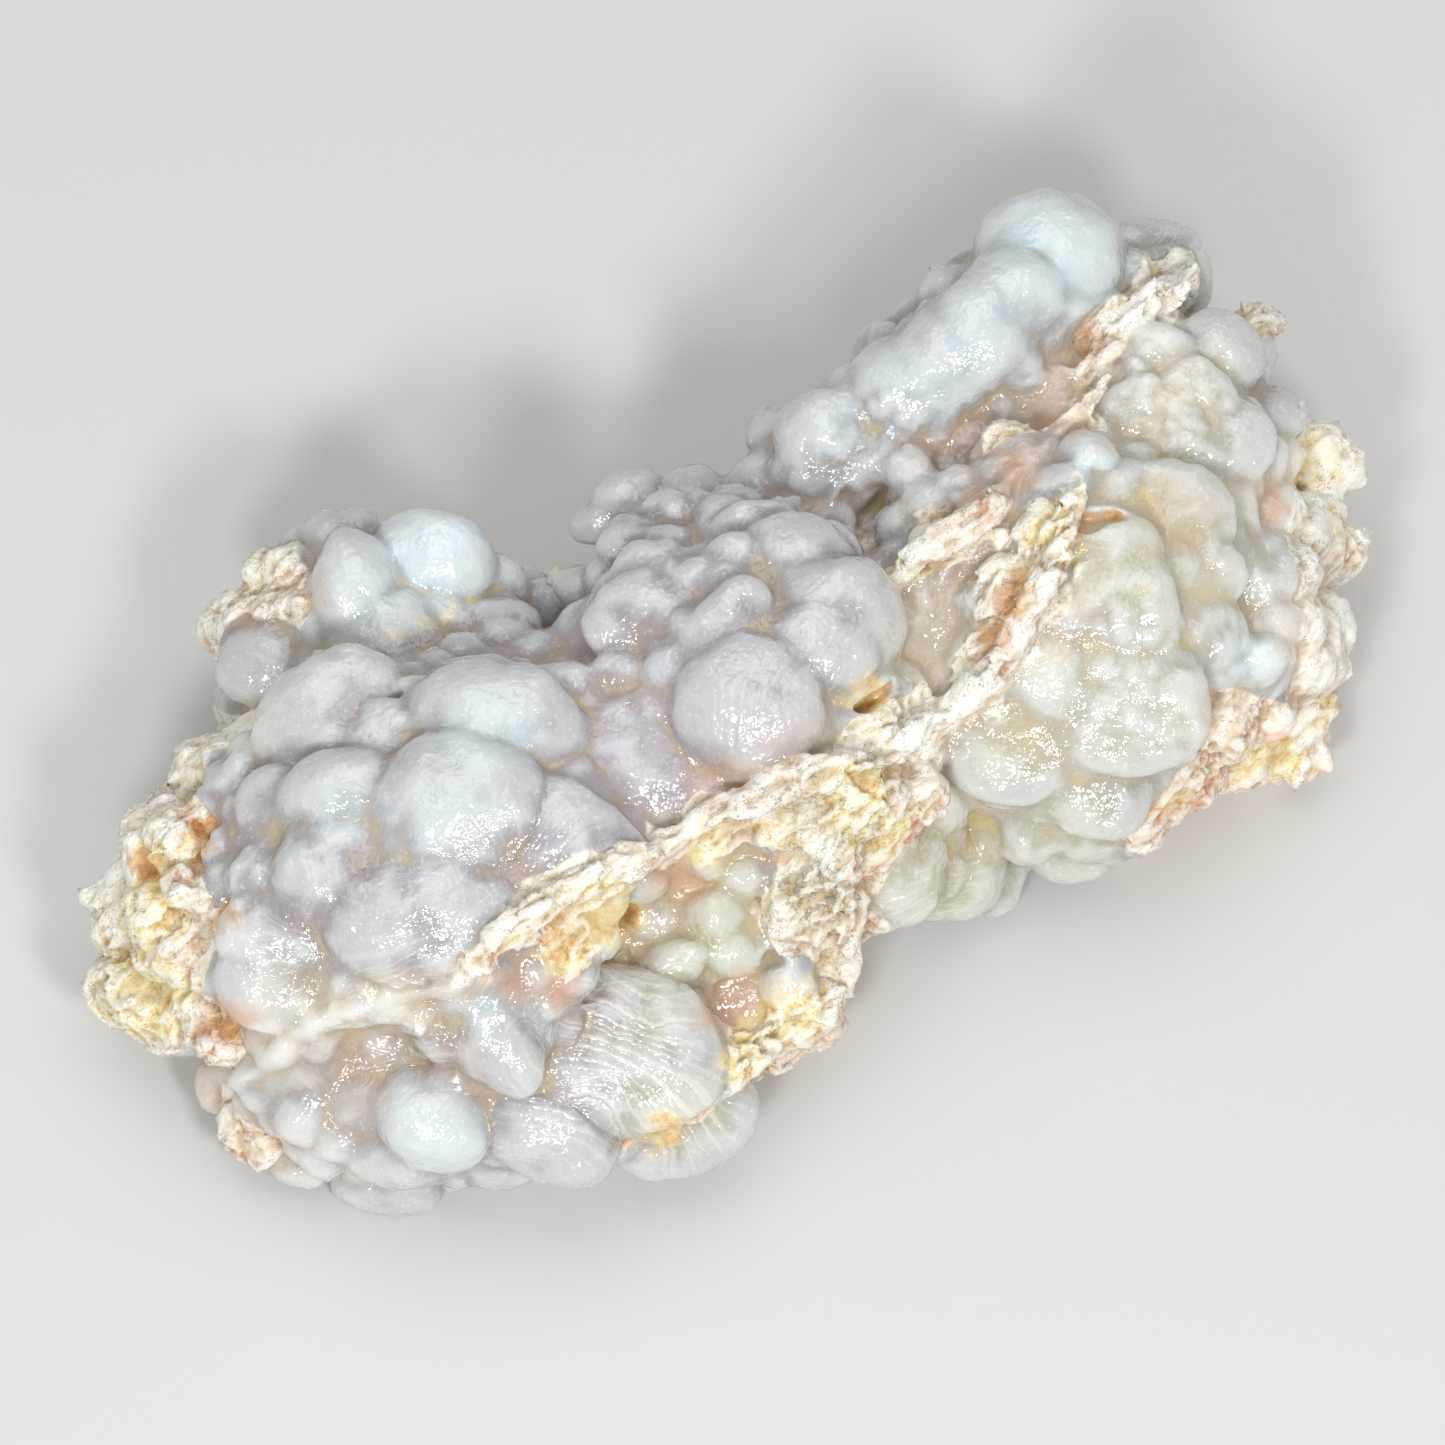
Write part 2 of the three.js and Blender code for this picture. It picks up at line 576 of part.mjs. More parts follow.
function stoneGeometry() {
  const body = BODY.map((mass, i) => solidFrom(crag(3, BODY_SEED + i, BODY_ROUGHNESS), massMatrix(mass)));
  const lumps = [FIELD, LONG_ROLL, VALLEY, FRONT_DOMES, BUBBLES, RIGHT_FIELD].flat().map(lumpSolid);
  const crust = [...BROKEN_EDGES.flatMap(edgeSolids), ...CRUST_KNOBS.map(knobSolid)];
  const pockets = pocketMatrices.map((matrix) => solidFrom(ball(2), matrix));
  let stone = joined([...body, ...backSolids()]).subtract(joined(pockets));
  stone = joined([stone, ...lumps, ...crust]);
  stone = stone.subtract(joined(HOLLOWS.map(hollowSolid)));
  stone = stone.subtract(belowBase());
  const mesh = stone.getMesh();
  const position = new THREE.BufferAttribute(mesh.vertProperties, 3);
  const pointAt = (_, i) => new THREE.Vector3().fromBufferAttribute(position, i);
  const faceAt = (_, f) => Array.from(mesh.triVerts.slice(3 * f, 3 * f + 3));
  const points = Array.from({ length: position.count }, pointAt);
  const faces = Array.from({ length: mesh.numTri }, faceAt);
  const kept = withoutSlivers(points, outerShell(points, faces));
  const geometry = new THREE.BufferGeometry().setFromPoints(kept.flat().map((i) => points[i]));
  return mergeVertices(geometry, MERGE_WITHIN)
    .translate(-BASE_MIDDLE[0], -BASE_MIDDLE[1], -BASE_MIDDLE[2])
    .rotateZ(LENGTH_TURN);
}

const opal = new THREE.MeshStandardMaterial({ color: 0xe4dcd8, roughness: 0.28, metalness: 0 });
const stone = new THREE.Mesh(stoneGeometry(), opal);
stone.name = "opal_stone";

const specimen = new THREE.Group();
specimen.add(stone);
export default specimen;
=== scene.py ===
"""A hand specimen of botryoidal pink opal on a pale floor, seen from above and in front.

The stone is set out in millimetres as the eye sees it: "across" and "up" are square to the line of
sight. It is then turned and shrunk into the row frame. Its body and its lumps are melted into one
skin, the skin is roughened, and masks on the skin say where each colour of the real stone is, and where
painted shade and painted light go.
"""
from math import atan2, cos, degrees, hypot, pi, radians, sin, sqrt

import bmesh
import bpy
import numpy as np
from mathutils import Matrix, Vector, noise


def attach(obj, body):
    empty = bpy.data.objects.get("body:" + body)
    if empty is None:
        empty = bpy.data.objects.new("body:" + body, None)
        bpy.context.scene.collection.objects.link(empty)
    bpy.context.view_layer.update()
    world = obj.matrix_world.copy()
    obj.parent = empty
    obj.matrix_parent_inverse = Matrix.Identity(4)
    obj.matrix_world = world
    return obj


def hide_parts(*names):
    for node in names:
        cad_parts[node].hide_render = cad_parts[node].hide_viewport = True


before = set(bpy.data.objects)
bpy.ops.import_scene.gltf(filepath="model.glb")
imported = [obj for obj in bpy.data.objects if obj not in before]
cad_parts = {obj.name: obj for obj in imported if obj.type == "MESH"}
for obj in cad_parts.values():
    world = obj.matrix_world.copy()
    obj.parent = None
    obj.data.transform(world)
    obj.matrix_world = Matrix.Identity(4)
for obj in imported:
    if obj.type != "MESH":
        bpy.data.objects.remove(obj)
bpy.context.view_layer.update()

MM = 0.001
SIGHT_ELEVATION = radians(65)
LENGTH_TURN = radians(-22)
BASE_MIDDLE = Vector((0.3, -7.3, 0))
SKIN_GRAIN = 0.22
MOST_TRIANGLES = 197000
LUMP_SINK = 0.45
LUMP_SWELL = 1.1
PILLOW_SPREAD = 0.5
PILLOW_FLATTEN = 0.88
LOW_FLATTEN = 0.68
SOFTENING = 2
FUSING = 40
CREASE_FILL = 0.2
CRAG_SPACING = 2.6
CRAG_ROOT = 2.4
CRAG_SINK = 0.65
NEAR = 1
FAR = -1

# The stone in millimetres, in the same tables as its solid.
# The body's masses: [x, y, z, half-length, half-width, half-height, turn in degrees].
BODY = [
  [-19, -18, 9, 20, 17, 15, 12],
  [-34, -20, 7, 8, 9, 11, 20],
  [-24, -1, 9, 11, 8.5, 10, 0],
  [1, -7, 10, 14, 16, 15, 20],
  [8, 9, 10, 8, 8, 11, 0],
  [21, 1.5, 10, 16, 16, 14, 0],
  [18.5, 17, 14, 14, 7, 10, 38],
  [29.5, 12, 11, 8.5, 10, 11, 0],
  [34.5, 3, 8, 6, 11, 10, 0],
  [-16, -30.5, 7, 17, 6.5, 8.5, 6],
  [0.5, -23, 7, 6.5, 6, 7, 0],
]

# Lumps: [across, up, lift towards the eye, half-length, half-width, turn in degrees].
FIELD = [
  [-20.5, 9.5, 0.7, 3.9, 3.2, 0],
  [-25.6, 7.3, 0.5, 2.6, 4.1, 0],
  [-23.4, 3.8, 0.3, 2.6, 2.2, 0],
  [-26.6, -1.7, 0.4, 3.7, 3.4, 20],
  [-31.4, 2.4, 0, 3.2, 3.0, 0],
  [-25.6, -7.1, 0.3, 3.3, 2.5, 0],
  [-30.5, -7.3, 0.1, 1.7, 2.2, 0],
  [-32.6, -5.7, -0.1, 1.1, 1.8, 0],
  [-22.9, -2.9, 0.1, 1.8, 1.9, 0],
  [-20.9, -0.7, 0.1, 1.4, 1.7, 0],
  [-16.4, -2.3, 0.6, 4.0, 3.3, 0],
  [-18.5, -7.8, 0.5, 4.2, 3.6, 10],
  [-12.3, -9.3, 0.2, 5.0, 2.6, -12],
  [-6.5, -4.8, 0.5, 4.3, 3.3, 15],
  [-8.7, -0.6, 0.1, 2.6, 1.6, -10],
  [-11.8, 0.0, 0.1, 2.3, 1.8, 0],
  [-11.3, 2.9, 0.3, 4.7, 1.9, -5],
  [-17.0, 4.4, 0.3, 3.7, 2.3, 15],
  [-17.5, 1.2, 0, 3.4, 1.1, 5],
  [-12.0, 6.5, 0.1, 3.5, 1.9, 10],
  [-6.4, 5.1, 0.1, 2.9, 1.5, 0],
  [-5.5, 8.4, 0.3, 1.9, 1.6, 0],
  [-8.6, 8.7, 0.1, 1.1, 1.1, 0],
  [-9.6, 12.0, 0.1, 1.7, 1.4, 0],
  [-6.9, 13.2, 0.2, 3.0, 2.2, 0],
  [-2.7, 13.3, 0.4, 2.5, 2.6, 0],
  [1.9, 14.6, 0.4, 2.5, 2.3, 0],
  [-0.5, 12.2, 0.2, 1.9, 1.8, 0],
  [-5.8, 10.6, 0.1, 3.2, 1.4, 0],
  [3.7, 8.9, 0.3, 2.6, 2.5, 0],
  [-0.1, 8.7, 0.1, 1.5, 1.7, 0],
  [-2.4, 7.7, 0.1, 1.4, 1.3, 0],
  [-5.5, 5.9, 0, 2.7, 1.8, 0],
  [1.0, 11.0, 0, 2.4, 1.6, 20],
  [6.1, 9.7, 0, 1.4, 1.5, 0],
  [6.7, 4.8, 0.5, 3.1, 3.1, 0],
  [5.2, 2.6, 0.2, 3.1, 2.3, 20],
  [1.1, -0.9, 0.5, 3.4, 3.2, -30],
  [-0.5, 4.1, 0.1, 3.2, 1.7, 60],
  [-3.6, 1.7, 0, 1.9, 1.5, 0],
  [-4.7, -0.7, 0, 1.4, 1.4, 0],
  [-30.5, -12.1, 0.1, 2.0, 2.0, 0],
  [-33.8, -10.3, 0.1, 1.2, 1.1, 0],
  [-33.3, -12.3, 0, 1.0, 1.3, 0],
  [-26.3, -11.6, 0.2, 3.1, 2.8, 0],
  [-29.2, -15.5, 0.2, 3.8, 2.2, 10],
  [-29.7, -18.2, 0.2, 3.6, 2.2, 15],
  [-20.6, -14.4, 0.5, 4.4, 3.1, 5],
  [-25.5, -17.4, 0, 1.3, 1.4, 0],
  [-22.9, -18.4, 0, 2.2, 1.1, 10],
]

LONG_ROLL = [
  [21.4, 30.0, 0.7, 4.8, 4.6, 0],
  [29.5, 30.0, 0.2, 3.8, 2.8, -35],
  [18.9, 27.0, 0.5, 3.7, 3.5, 45],
  [16.5, 24.4, 0.5, 3.9, 3.6, 40],
  [14.0, 22.7, 0.5, 3.9, 3.5, 40],
  [11.4, 21.1, 0.5, 3.7, 3.4, 40],
  [8.7, 19.5, 0.5, 3.6, 3.3, 35],
  [6.1, 17.9, 0.6, 3.2, 3.1, 20],
  [9.9, 16.4, 0.2, 1.9, 1.7, 0],
  [15.8, 29.4, 0.1, 1.5, 1.4, 0],
  [12.9, 26.3, -0.5, 2.4, 1.5, 40],
  [9.7, 23.9, -0.5, 2.4, 1.4, 45],
]

VALLEY = [
  [16.8, 18.8, 1.1, 2.8, 2.0, 35],
  [14.7, 16.2, 1.3, 2.4, 2.0, 30],
  [20.3, 20.4, 0.8, 2.4, 1.6, 45],
  [13.3, 5.6, -0.3, 2.6, 3.0, 60],
  [12.0, 1.6, -0.4, 2.0, 1.5, 0],
]

FRONT_DOMES = [
  [-20.0, -27.8, 0.5, 3.9, 3.5, -15],
  [-22.4, -29.7, 0.2, 3.6, 2.9, 0],
  [-13.2, -28.2, 0.4, 5.4, 3.3, -35],
  [-15.6, -31.0, 0, 2.8, 1.7, 0],
  [-29.0, -27.6, 0.2, 1.8, 1.9, 0],
  [-31.4, -26.4, 0.1, 1.5, 1.3, 0],
  [-23.7, -32.8, -0.3, 3.6, 1.8, -10],
  [-29.5, -31.4, -0.2, 1.8, 1.4, -30],
  [-35.2, -25.8, -0.2, 1.4, 2.0, 0],
  [-16.2, -22.2, 0.5, 4.4, 2.5, -50],
]

# Flat shells of banded opal, and which way the middle of their bands lies.
SHELL_LEANS = (4.35, 3.9)
BANDED_SHELLS = [
  [-8.4, -23.2, 0.1, 6.6, 4.8, -12],
  [-4.0, -27.2, -0.1, 4.6, 3.9, 15],
]

BUBBLES = [
  [-6.4, -12.2, 0.4, 1.9, 1.6, 0],
  [-5.6, -14.5, 0.3, 1.9, 1.5, 20],
  [-1.6, -14.5, 0.3, 2.3, 2.2, 0],
  [0.9, -11.7, 0.2, 2.2, 1.5, 0],
  [-0.3, -17.0, 0.1, 1.9, 1.6, 0],
  [-4.4, -17.6, 0.1, 2.4, 1.6, 20],
  [3.6, -19.1, 0.2, 1.9, 1.4, 0],
  [6.9, -11.3, 0.3, 1.1, 0.9, 0],
]

RIGHT_FIELD = [
  [25.7, 0.3, 0.5, 4.4, 3.5, 0],
  [24.0, -5.4, 0.3, 2.7, 2.6, 0],
  [24.5, -9.1, 0.2, 2.1, 1.7, 0],
  [23.1, -10.8, 0, 2.6, 1.6, 0],
  [20.4, -8.9, 0.2, 2.6, 2.1, 0],
  [18.5, -3.1, 0.2, 3.1, 2.6, 0],
  [14.6, -11.6, 0, 4.2, 3.2, 15],
  [11.2, -11.4, 0.1, 3.0, 3.6, 0],
  [17.6, -12.0, 0, 2.4, 2.4, 0],
  [26.1, 5.7, 0.5, 2.7, 2.8, 0],
  [25.1, 9.4, 0.3, 2.7, 2.3, 0],
  [29.3, 12.0, 0.2, 3.1, 2.7, 0],
  [33.3, 12.0, 0.2, 1.6, 2.5, 0],
  [34.2, 14.7, 0.1, 1.2, 1.1, 0],
  [34.3, 7.9, 0.2, 1.5, 1.5, 0],
  [35.9, 16.6, 0.2, 1.5, 1.5, 0],
  [31.2, 8.4, 0.1, 2.0, 1.9, 0],
  [30.6, 4.2, 0.1, 2.1, 2.0, 0],
  [33.0, 17.6, 0.3, 2.2, 2.1, 0],
  [30.0, 17.0, 0.2, 2.1, 1.8, 0],
  [27.6, 18.8, 0.2, 2.2, 2.0, 0],
  [28.2, 22.2, 0.2, 2.1, 2.1, 0],
  [31.3, 20.4, 0.2, 2.0, 1.7, 0],
  [21.7, 13.9, 0.2, 1.6, 1.3, 30],
  [32.8, 23.3, 0.3, 3.3, 2.9, 0],
  [36.0, 23.6, 0.1, 1.3, 1.6, 0],
  [21.2, 2.0, 0.1, 2.4, 2.0, 30],
]

# Small balls that stand clear of their neighbours.
STANDING_BALLS = [
  [11.7, 15.8, 2.8, 1.8, 1.7, 0],
  [35.0, 2.7, 1.1, 1.9, 1.8, 0],
  [23.5, 16.3, 1.3, 1.7, 1.6, 0],
]

# Broken edges of the plate: lines of [across, up, lift, half-width] that crags follow.
BROKEN_EDGES = [
  [
    [7.8, -4.5, 1.0, 1.7],
    [4.3, -5.2, 1.1, 1.4],
    [0.0, -7.1, 1.1, 1.2],
    [-4.5, -9.5, 1.1, 1.1],
    [-8.3, -11.3, 1.1, 1.4],
    [-12.2, -13.5, 1.0, 1.4],
    [-15.9, -16.3, 0.9, 1.2],
    [-19.0, -18.8, 0.7, 1.0],
    [-23.3, -19.7, 0.5, 1.1],
    [-28.0, -21.2, 0.5, 1.4],
    [-31.4, -24.0, 0.3, 1.4],
  ],
  [
    [29.3, 27.6, 0.7, 1.7],
    [25.8, 23.6, 1.0, 1.6],
    [23.3, 19.5, 0.9, 1.5],
    [18.7, 15.0, 0.7, 1.3],
    [14.3, 11.0, 0.8, 1.5],
    [10.3, 7.7, 0.6, 1.2],
  ],
  [
    [22.0, 11.5, 0.5, 1.0],
    [21.3, 9.3, 0.6, 1.3],
    [18.7, 4.5, 0.7, 1.1],
    [14.7, -0.7, 0.7, 1.1],
    [10.0, -3.0, 0.7, 1.2],
  ],
  [
    [7.6, -8.0, 0.5, 1.2],
    [7.2, -14.5, 0.2, 1.0],
    [6.6, -19.0, 0.2, 1.2],
    [3.4, -22.0, 0.3, 1.5],
    [-0.6, -24.6, 0.3, 1.3],
    [-4.6, -27.4, 0.5, 1.0],
  ],
  [
    [-35.0, -3.8, 0.1, 1.2],
    [-38.6, -7.2, 0.1, 1.4],
    [-41.2, -11.4, 0.1, 1.3],
  ],
  [
    [39.0, 17.2, 0, 1.8],
    [41.0, 13.4, 0, 1.8],
    [38.6, 9.8, 0.2, 1.8],
    [39.6, 4.2, 0.1, 1.6],
    [39.4, -0.4, 0.1, 1.6],
    [37.6, -4.2, 0, 1.6],
    [33.2, -4.8, 0, 1.4],
    [29.0, -6.8, 0, 1.4],
    [26.6, -9.2, -0.1, 1.2],
  ],
]

# Crusty knobs of matrix, laid out as the lumps are.
CRUST_KNOBS = [
  [-39.7, -19.6, 0.2, 3.8, 3.2, 0],
  [-41.6, -13.7, 0.0, 2.0, 2.2, 0],
  [-38.8, -14.2, 0.4, 2.6, 2.3, 0],
  [-36.1, -13.3, 0.6, 2.9, 1.4, -50],
  [-37.0, -9.4, 0.4, 2.4, 2.4, 0],
  [-36.6, -16.8, 0.3, 2.4, 2.1, 0],
  [-33.4, 5.6, -0.4, 2.0, 2.1, 0],
  [-29.2, 6.8, -0.8, 2.6, 1.2, 10],
  [-34.4, -0.4, -0.2, 1.5, 2.2, 0],
  [-34.0, -22.0, 0.0, 2.6, 2.4, -40],
  [-32.8, -28.8, -0.6, 2.0, 2.6, 40],
  [40.6, 16.2, 0.0, 2.8, 2.8, 0],
  [41.6, 9.8, -0.4, 2.8, 1.8, 55],
  [39.9, 3.3, 0.0, 1.9, 3.6, 0],
  [33.2, -1.5, 0.4, 2.3, 2.8, 0],
  [38.8, -3.4, 0.0, 2.2, 2.2, 0],
  [28.4, -6.6, -0.2, 3.4, 1.8, 45],
  [8.1, -6.6, 0.8, 3.2, 2.6, 0],
  [11.4, -6.4, 0.2, 2.8, 2.2, 30],
  [4.3, -13.0, 0.0, 3.0, 3.2, 0],
  [4.4, -20.9, 0.0, 3.0, 2.8, 30],
  [1.6, -23.0, 0.2, 2.2, 1.7, 40],
  [36.0, 26.2, -0.2, 1.8, 1.4, 0],
]

# Pockets in the body, which the lumps then line.
POCKETS = [
  [-4.5, -14.8, 0.4, 10.0, 3.6, 27],
  [17.0, 18.4, 0.2, 9.0, 2.7, 42],
  [9.2, 12.4, 0.2, 3.6, 2.8, 50],
  [15.8, 7.2, 0.0, 6.0, 2.2, 55],
  [1.0, -19.8, 0.0, 3.6, 2.4, 50],
  [-24.0, -24.0, 0.4, 7.0, 2.6, 12],
  [32.4, -1.6, 0.0, 3.6, 1.4, -65],
  [-36.0, -10.6, 0.0, 3.6, 1.5, -50],
]

# Smooth breaks across the opal.
FLAT_FACES = [
  [-0.5, -20.2, 0.3, 2.9, 1.9, 52],
  [16.3, 12.9, 0.5, 2.6, 1.1, 38],
]

# Hollows between the lumps.
HOLLOWS = [
  [9.4, 0.2, 0.7, 2.6, 0.6, 28],
  [23.8, 25.4, 1.0, 4.0, 1.2, 50],
  [-39.6, -11.0, 1.2, 1.3, 1.1, 0],
  [-35.6, -9.2, 1.0, 1.9, 0.7, -50],
  [-33.4, -14.6, 0.8, 1.2, 1.0, 0],
  [36.8, -3.0, 1.4, 1.2, 1.3, 0],
  [31.0, -2.6, 0.8, 2.2, 0.6, -65],
  [-4.6, -29.0, 1.8, 1.6, 0.9, 0],
  [23.9, 12.3, 0.9, 2.0, 0.8, 8],
  [-22.4, -0.1, 1.3, 1.0, 0.5, 70],
]

BACK_GRID = {"across": (-36, 38, 9), "up": (-30, 30, 8)}
BACK_LUMP = {"smallest": 3.6, "largest": 5.4, "margin": 4}

# Small lumps that fill the gaps between the named ones.
BUD_STEP = 2.3
BUD_RADIUS = (1.5, 2.5)
BUD_SINK = 0.78
CRUMB_SIZE = (0.35, 1.15)

# Thin plates that lie along the broken edges, in millimetres.
PLATE = {"spacing": 1.5, "abreast": 5, "length": 2.8, "width": 0.62, "thickness": 0.34}
END_EDGES = (4, 5)
# How much of each edge's width is crust: the two in the middle of the stone are thin crests.
CRUST_SHARE = (0.47, 0.4, 0.42, 0.7, 0.8, 0.8)
# Where an edge is smooth opal instead of crust: its index, from and to across, and how it is stretched.
SMOOTH_SPANS = [
    [0, -60, -16.5, (1.2, 2.0, 0.92)],
    [1, 15.6, 22.0, (1.15, 1.3, 0.84)],
]

# Where each colour of the stone shows, and where some painted shade goes: [across, up, reach, strength].
OCHRE = [
    [-39.7, -19.8, 4.2, 1.0], [-39.2, -14.2, 3.0, 0.95], [-38.5, -10.4, 2.4, 0.8], [-36.0, -9.2, 2.0, 0.6],
    [-22.3, 4.2, 1.0, 0.6], [-20.8, 5.1, 1.0, 0.7], [-19.2, 5.8, 0.9, 0.7], [-17.7, 6.6, 0.9, 0.6],
    [-23.0, 6.8, 1.0, 0.4], [-11.5, 9.3, 1.4, 0.5],
    [-33.0, -14.4, 1.8, 0.6], [7.8, -6.3, 3.4, 0.8], [9.6, -8.8, 2.4, 0.8], [3.0, -5.4, 2.0, 0.35],
    [-1.6, -9.6, 2.4, 0.8], [2.8, -8.2, 2.2, 0.6], [-8.4, -14.2, 3.0, 0.95], [-11.4, -16.6, 2.4, 0.8], [-14.0, -15.6, 1.6, 0.6],
    [3.6, -20.8, 3.2, 0.75], [0.4, -23.8, 2.4, 0.75], [-4.6, -28.4, 2.2, 0.9], [6.9, -16.8, 1.6, 0.4],
    [5.0, -13.4, 3.0, 0.45], [20.8, 11.6, 2.0, 0.85], [22.6, 9.2, 1.8, 0.4], [19.6, 7.6, 1.6, 0.5],
    [27.2, 7.6, 2.0, 0.45], [28.3, 14.2, 2.0, 0.4], [40.2, 16.8, 3.0, 0.65], [41.4, 12.2, 2.2, 0.5],
    [40.4, -0.8, 2.0, 0.55], [37.2, -4.0, 2.4, 0.75], [34.6, -4.4, 2.2, 0.6], [29.6, -6.4, 2.4, 0.4],
    [10.4, 12.6, 1.8, 0.45], [8.8, 0.4, 1.8, 0.8], [12.2, 0.4, 1.6, 0.4], [15.0, -9.8, 4.6, 0.25],
]
# Salmon spots, and peach painted shade beside the crest of the main edge and on the flank of the ridge near across 19,
# up 6.4.
PEACH = [
    [-34.0, -21.6, 2.4, 0.95], [-36.4, -8.2, 1.7, 0.7], [-36.6, -11.4, 1.3, 0.85], [-36.8, -16.9, 2.0, 0.5],
    [-11.8, -19.0, 1.8, 0.95], [-14.4, -18.8, 1.6, 0.7], [-3.8, -11.6, 2.2, 0.85], [-1.0, -9.6, 2.0, 0.6],
    [7.8, -5.8, 2.2, 0.7], [17.0, 13.4, 2.0, 1.0], [19.0, 15.8, 1.9, 0.9], [14.0, 11.8, 1.5, 0.7],
    [19.0, 6.4, 1.8, 0.6], [21.6, 19.0, 2.0, 0.7], [24.4, 24.0, 1.8, 0.6], [4.4, -2.8, 2.4, 0.3],
    [-0.6, -5.8, 2.6, 0.45], [3.2, -3.6, 2.4, 0.35], [29.8, 12.2, 3.0, 0.3],
    [17.0, 3.4, 1.8, 0.4], [36.6, 13.8, 1.6, 0.95], [22.6, 21.4, 2.4, 0.5], [19.4, 17.2, 2.2, 0.45],
    [-0.4, -20.6, 2.3, 0.85], [0.6, -18.9, 1.4, 0.7], [16.2, 17.2, 2.4, 0.35], [12.6, 16.6, 2.2, 0.3], [-25.6, -25.4, 3.6, 0.25], [-18.6, -24.2, 3.0, 0.25],
    [-35.8, -26.2, 2.6, 0.4], [-31.6, -30.6, 2.6, 0.3], [-33.2, -29.0, 2.4, 0.5], [33.2, -1.6, 2.4, 0.4], [-29.6, 7.2, 2.2, 0.45],
    [-33.2, 6.2, 1.8, 0.35], [-20.6, -19.4, 2.4, 0.3], [10.2, -5.2, 1.8, 0.4], [39.2, 4.4, 2.4, 0.25],
]
LILAC = [
    [-26.6, -1.7, 4.2, 0.7], [-6.5, -4.8, 5.2, 1.0], [-12.3, -9.3, 5.0, 0.8], [-3.0, 2.0, 5.0, 0.8],
    [-0.5, 8.4, 4.2, 0.6], [-20.6, -14.4, 5.2, 0.7], [-2.4, 13.2, 3.0, 0.45], [9.6, 19.6, 4.4, 0.4],
    [-12.0, 4.6, 5.4, 0.7], [-26.0, -11.4, 4.4, 0.4], [-13.2, -28.2, 5.0, 0.55], [-5.6, 9.6, 3.6, 0.6],
    [1.1, -0.9, 3.6, 0.7], [-8.6, -24.0, 4.6, 0.5], [16.4, 24.4, 4.0, 0.4], [-31.4, 2.4, 3.4, 0.2],
]
FROST = [
    [-20.5, 9.5, 4.6, 0.9], [-25.4, 7.0, 3.6, 0.6], [-16.4, -2.3, 4.4, 0.65], [-18.6, -7.6, 4.4, 0.5],
    [-20.4, -28.2, 4.4, 0.6], [21.4, 30.2, 5.2, 0.8], [35.0, 2.7, 2.0, 1.0], [23.7, 16.2, 1.8, 1.0],
    [-25.6, -7.1, 3.4, 0.5], [-17.0, -21.0, 2.2, 0.5], [26.0, 0.6, 4.6, 0.4], [16.4, 25.0, 4.6, 0.6],
    [11.6, 21.2, 4.0, 0.55], [7.4, 18.8, 3.4, 0.4], [25.4, 31.0, 3.6, 0.3],
    [11.7, 15.6, 1.8, 0.5], [3.6, -19.1, 1.8, 0.6],
]
HONEY = [
    [29.0, 9.0, 8.5, 0.8], [25.0, -1.0, 8.0, 0.6], [14.0, -11.0, 6.5, 0.8], [18.4, -3.0, 3.4, 0.9],
    [30.0, 19.0, 6.0, 0.6], [13.6, 4.6, 5.0, 0.4],
    [-2.0, -14.6, 5.6, 0.85], [-4.4, -19.4, 4.0, 0.4], [22.6, -9.8, 4.6, 0.55], [33.4, 3.0, 5.0, 0.3],
    [-4.0, -27.6, 3.8, 0.5], [5.0, -13.4, 3.2, 0.6], [-28.6, 3.8, 4.0, 0.25], [13.0, 5.2, 3.4, 0.3],
]
BANDED = [
    [-8.2, -23.4, 7.4, 1.0], [-4.0, -27.2, 4.8, 1.0], [-2.4, -17.6, 3.4, 0.6], [1.1, -0.9, 3.6, 0.4],
    [25.1, 9.2, 3.0, 0.5], [-12.3, -9.3, 5.0, 0.4], [-13.2, -28.2, 5.0, 0.25], [5.6, 3.2, 3.6, 0.3],
    [-26.4, -11.6, 4.0, 0.25], [-29.4, -17.0, 4.0, 0.3], [-31.0, 1.0, 3.6, 0.25], [-24.6, 4.6, 3.0, 0.2],
    [-20.6, -14.4, 4.4, 0.15], [12.6, -11.8, 5.6, 0.6], [33.0, 23.4, 3.6, 0.3], [-22.6, -21.0, 6.0, 0.6],
    [15.6, 10.0, 5.0, 0.6], [25.4, 0.4, 4.0, 0.15], [29.5, 30.0, 4.2, 0.6],
]
# Orange stain in the hollows, and orange-brown painted shade on the flank of the ridge near across 18, up 5.
RUST_AND_SHADE = [
    [9.4, 0.2, 2.0, 0.7], [-39.6, -11.0, 1.7, 1.0], [-35.6, -9.2, 1.9, 1.0], [-33.4, -14.6, 1.6, 1.0],
    [36.8, -3.0, 1.9, 0.9], [31.0, -2.6, 1.6, 0.6], [-4.6, -28.6, 1.9, 1.0], [23.4, 12.1, 1.5, 0.9],
    [25.6, 12.5, 1.0, 0.9], [18.3, 6.6, 1.9, 1.0], [17.6, 4.4, 1.6, 0.8], [-11.4, -15.6, 2.2, 0.8],
    [-8.2, -14.6, 2.0, 0.8], [2.4, -10.2, 1.8, 0.4], [-22.4, -0.1, 1.3, 0.2], [7.0, -14.6, 1.5, 0.6],
    [-33.6, -22.0, 1.1, 0.8], [1.4, -16.0, 1.4, 0.4],
]
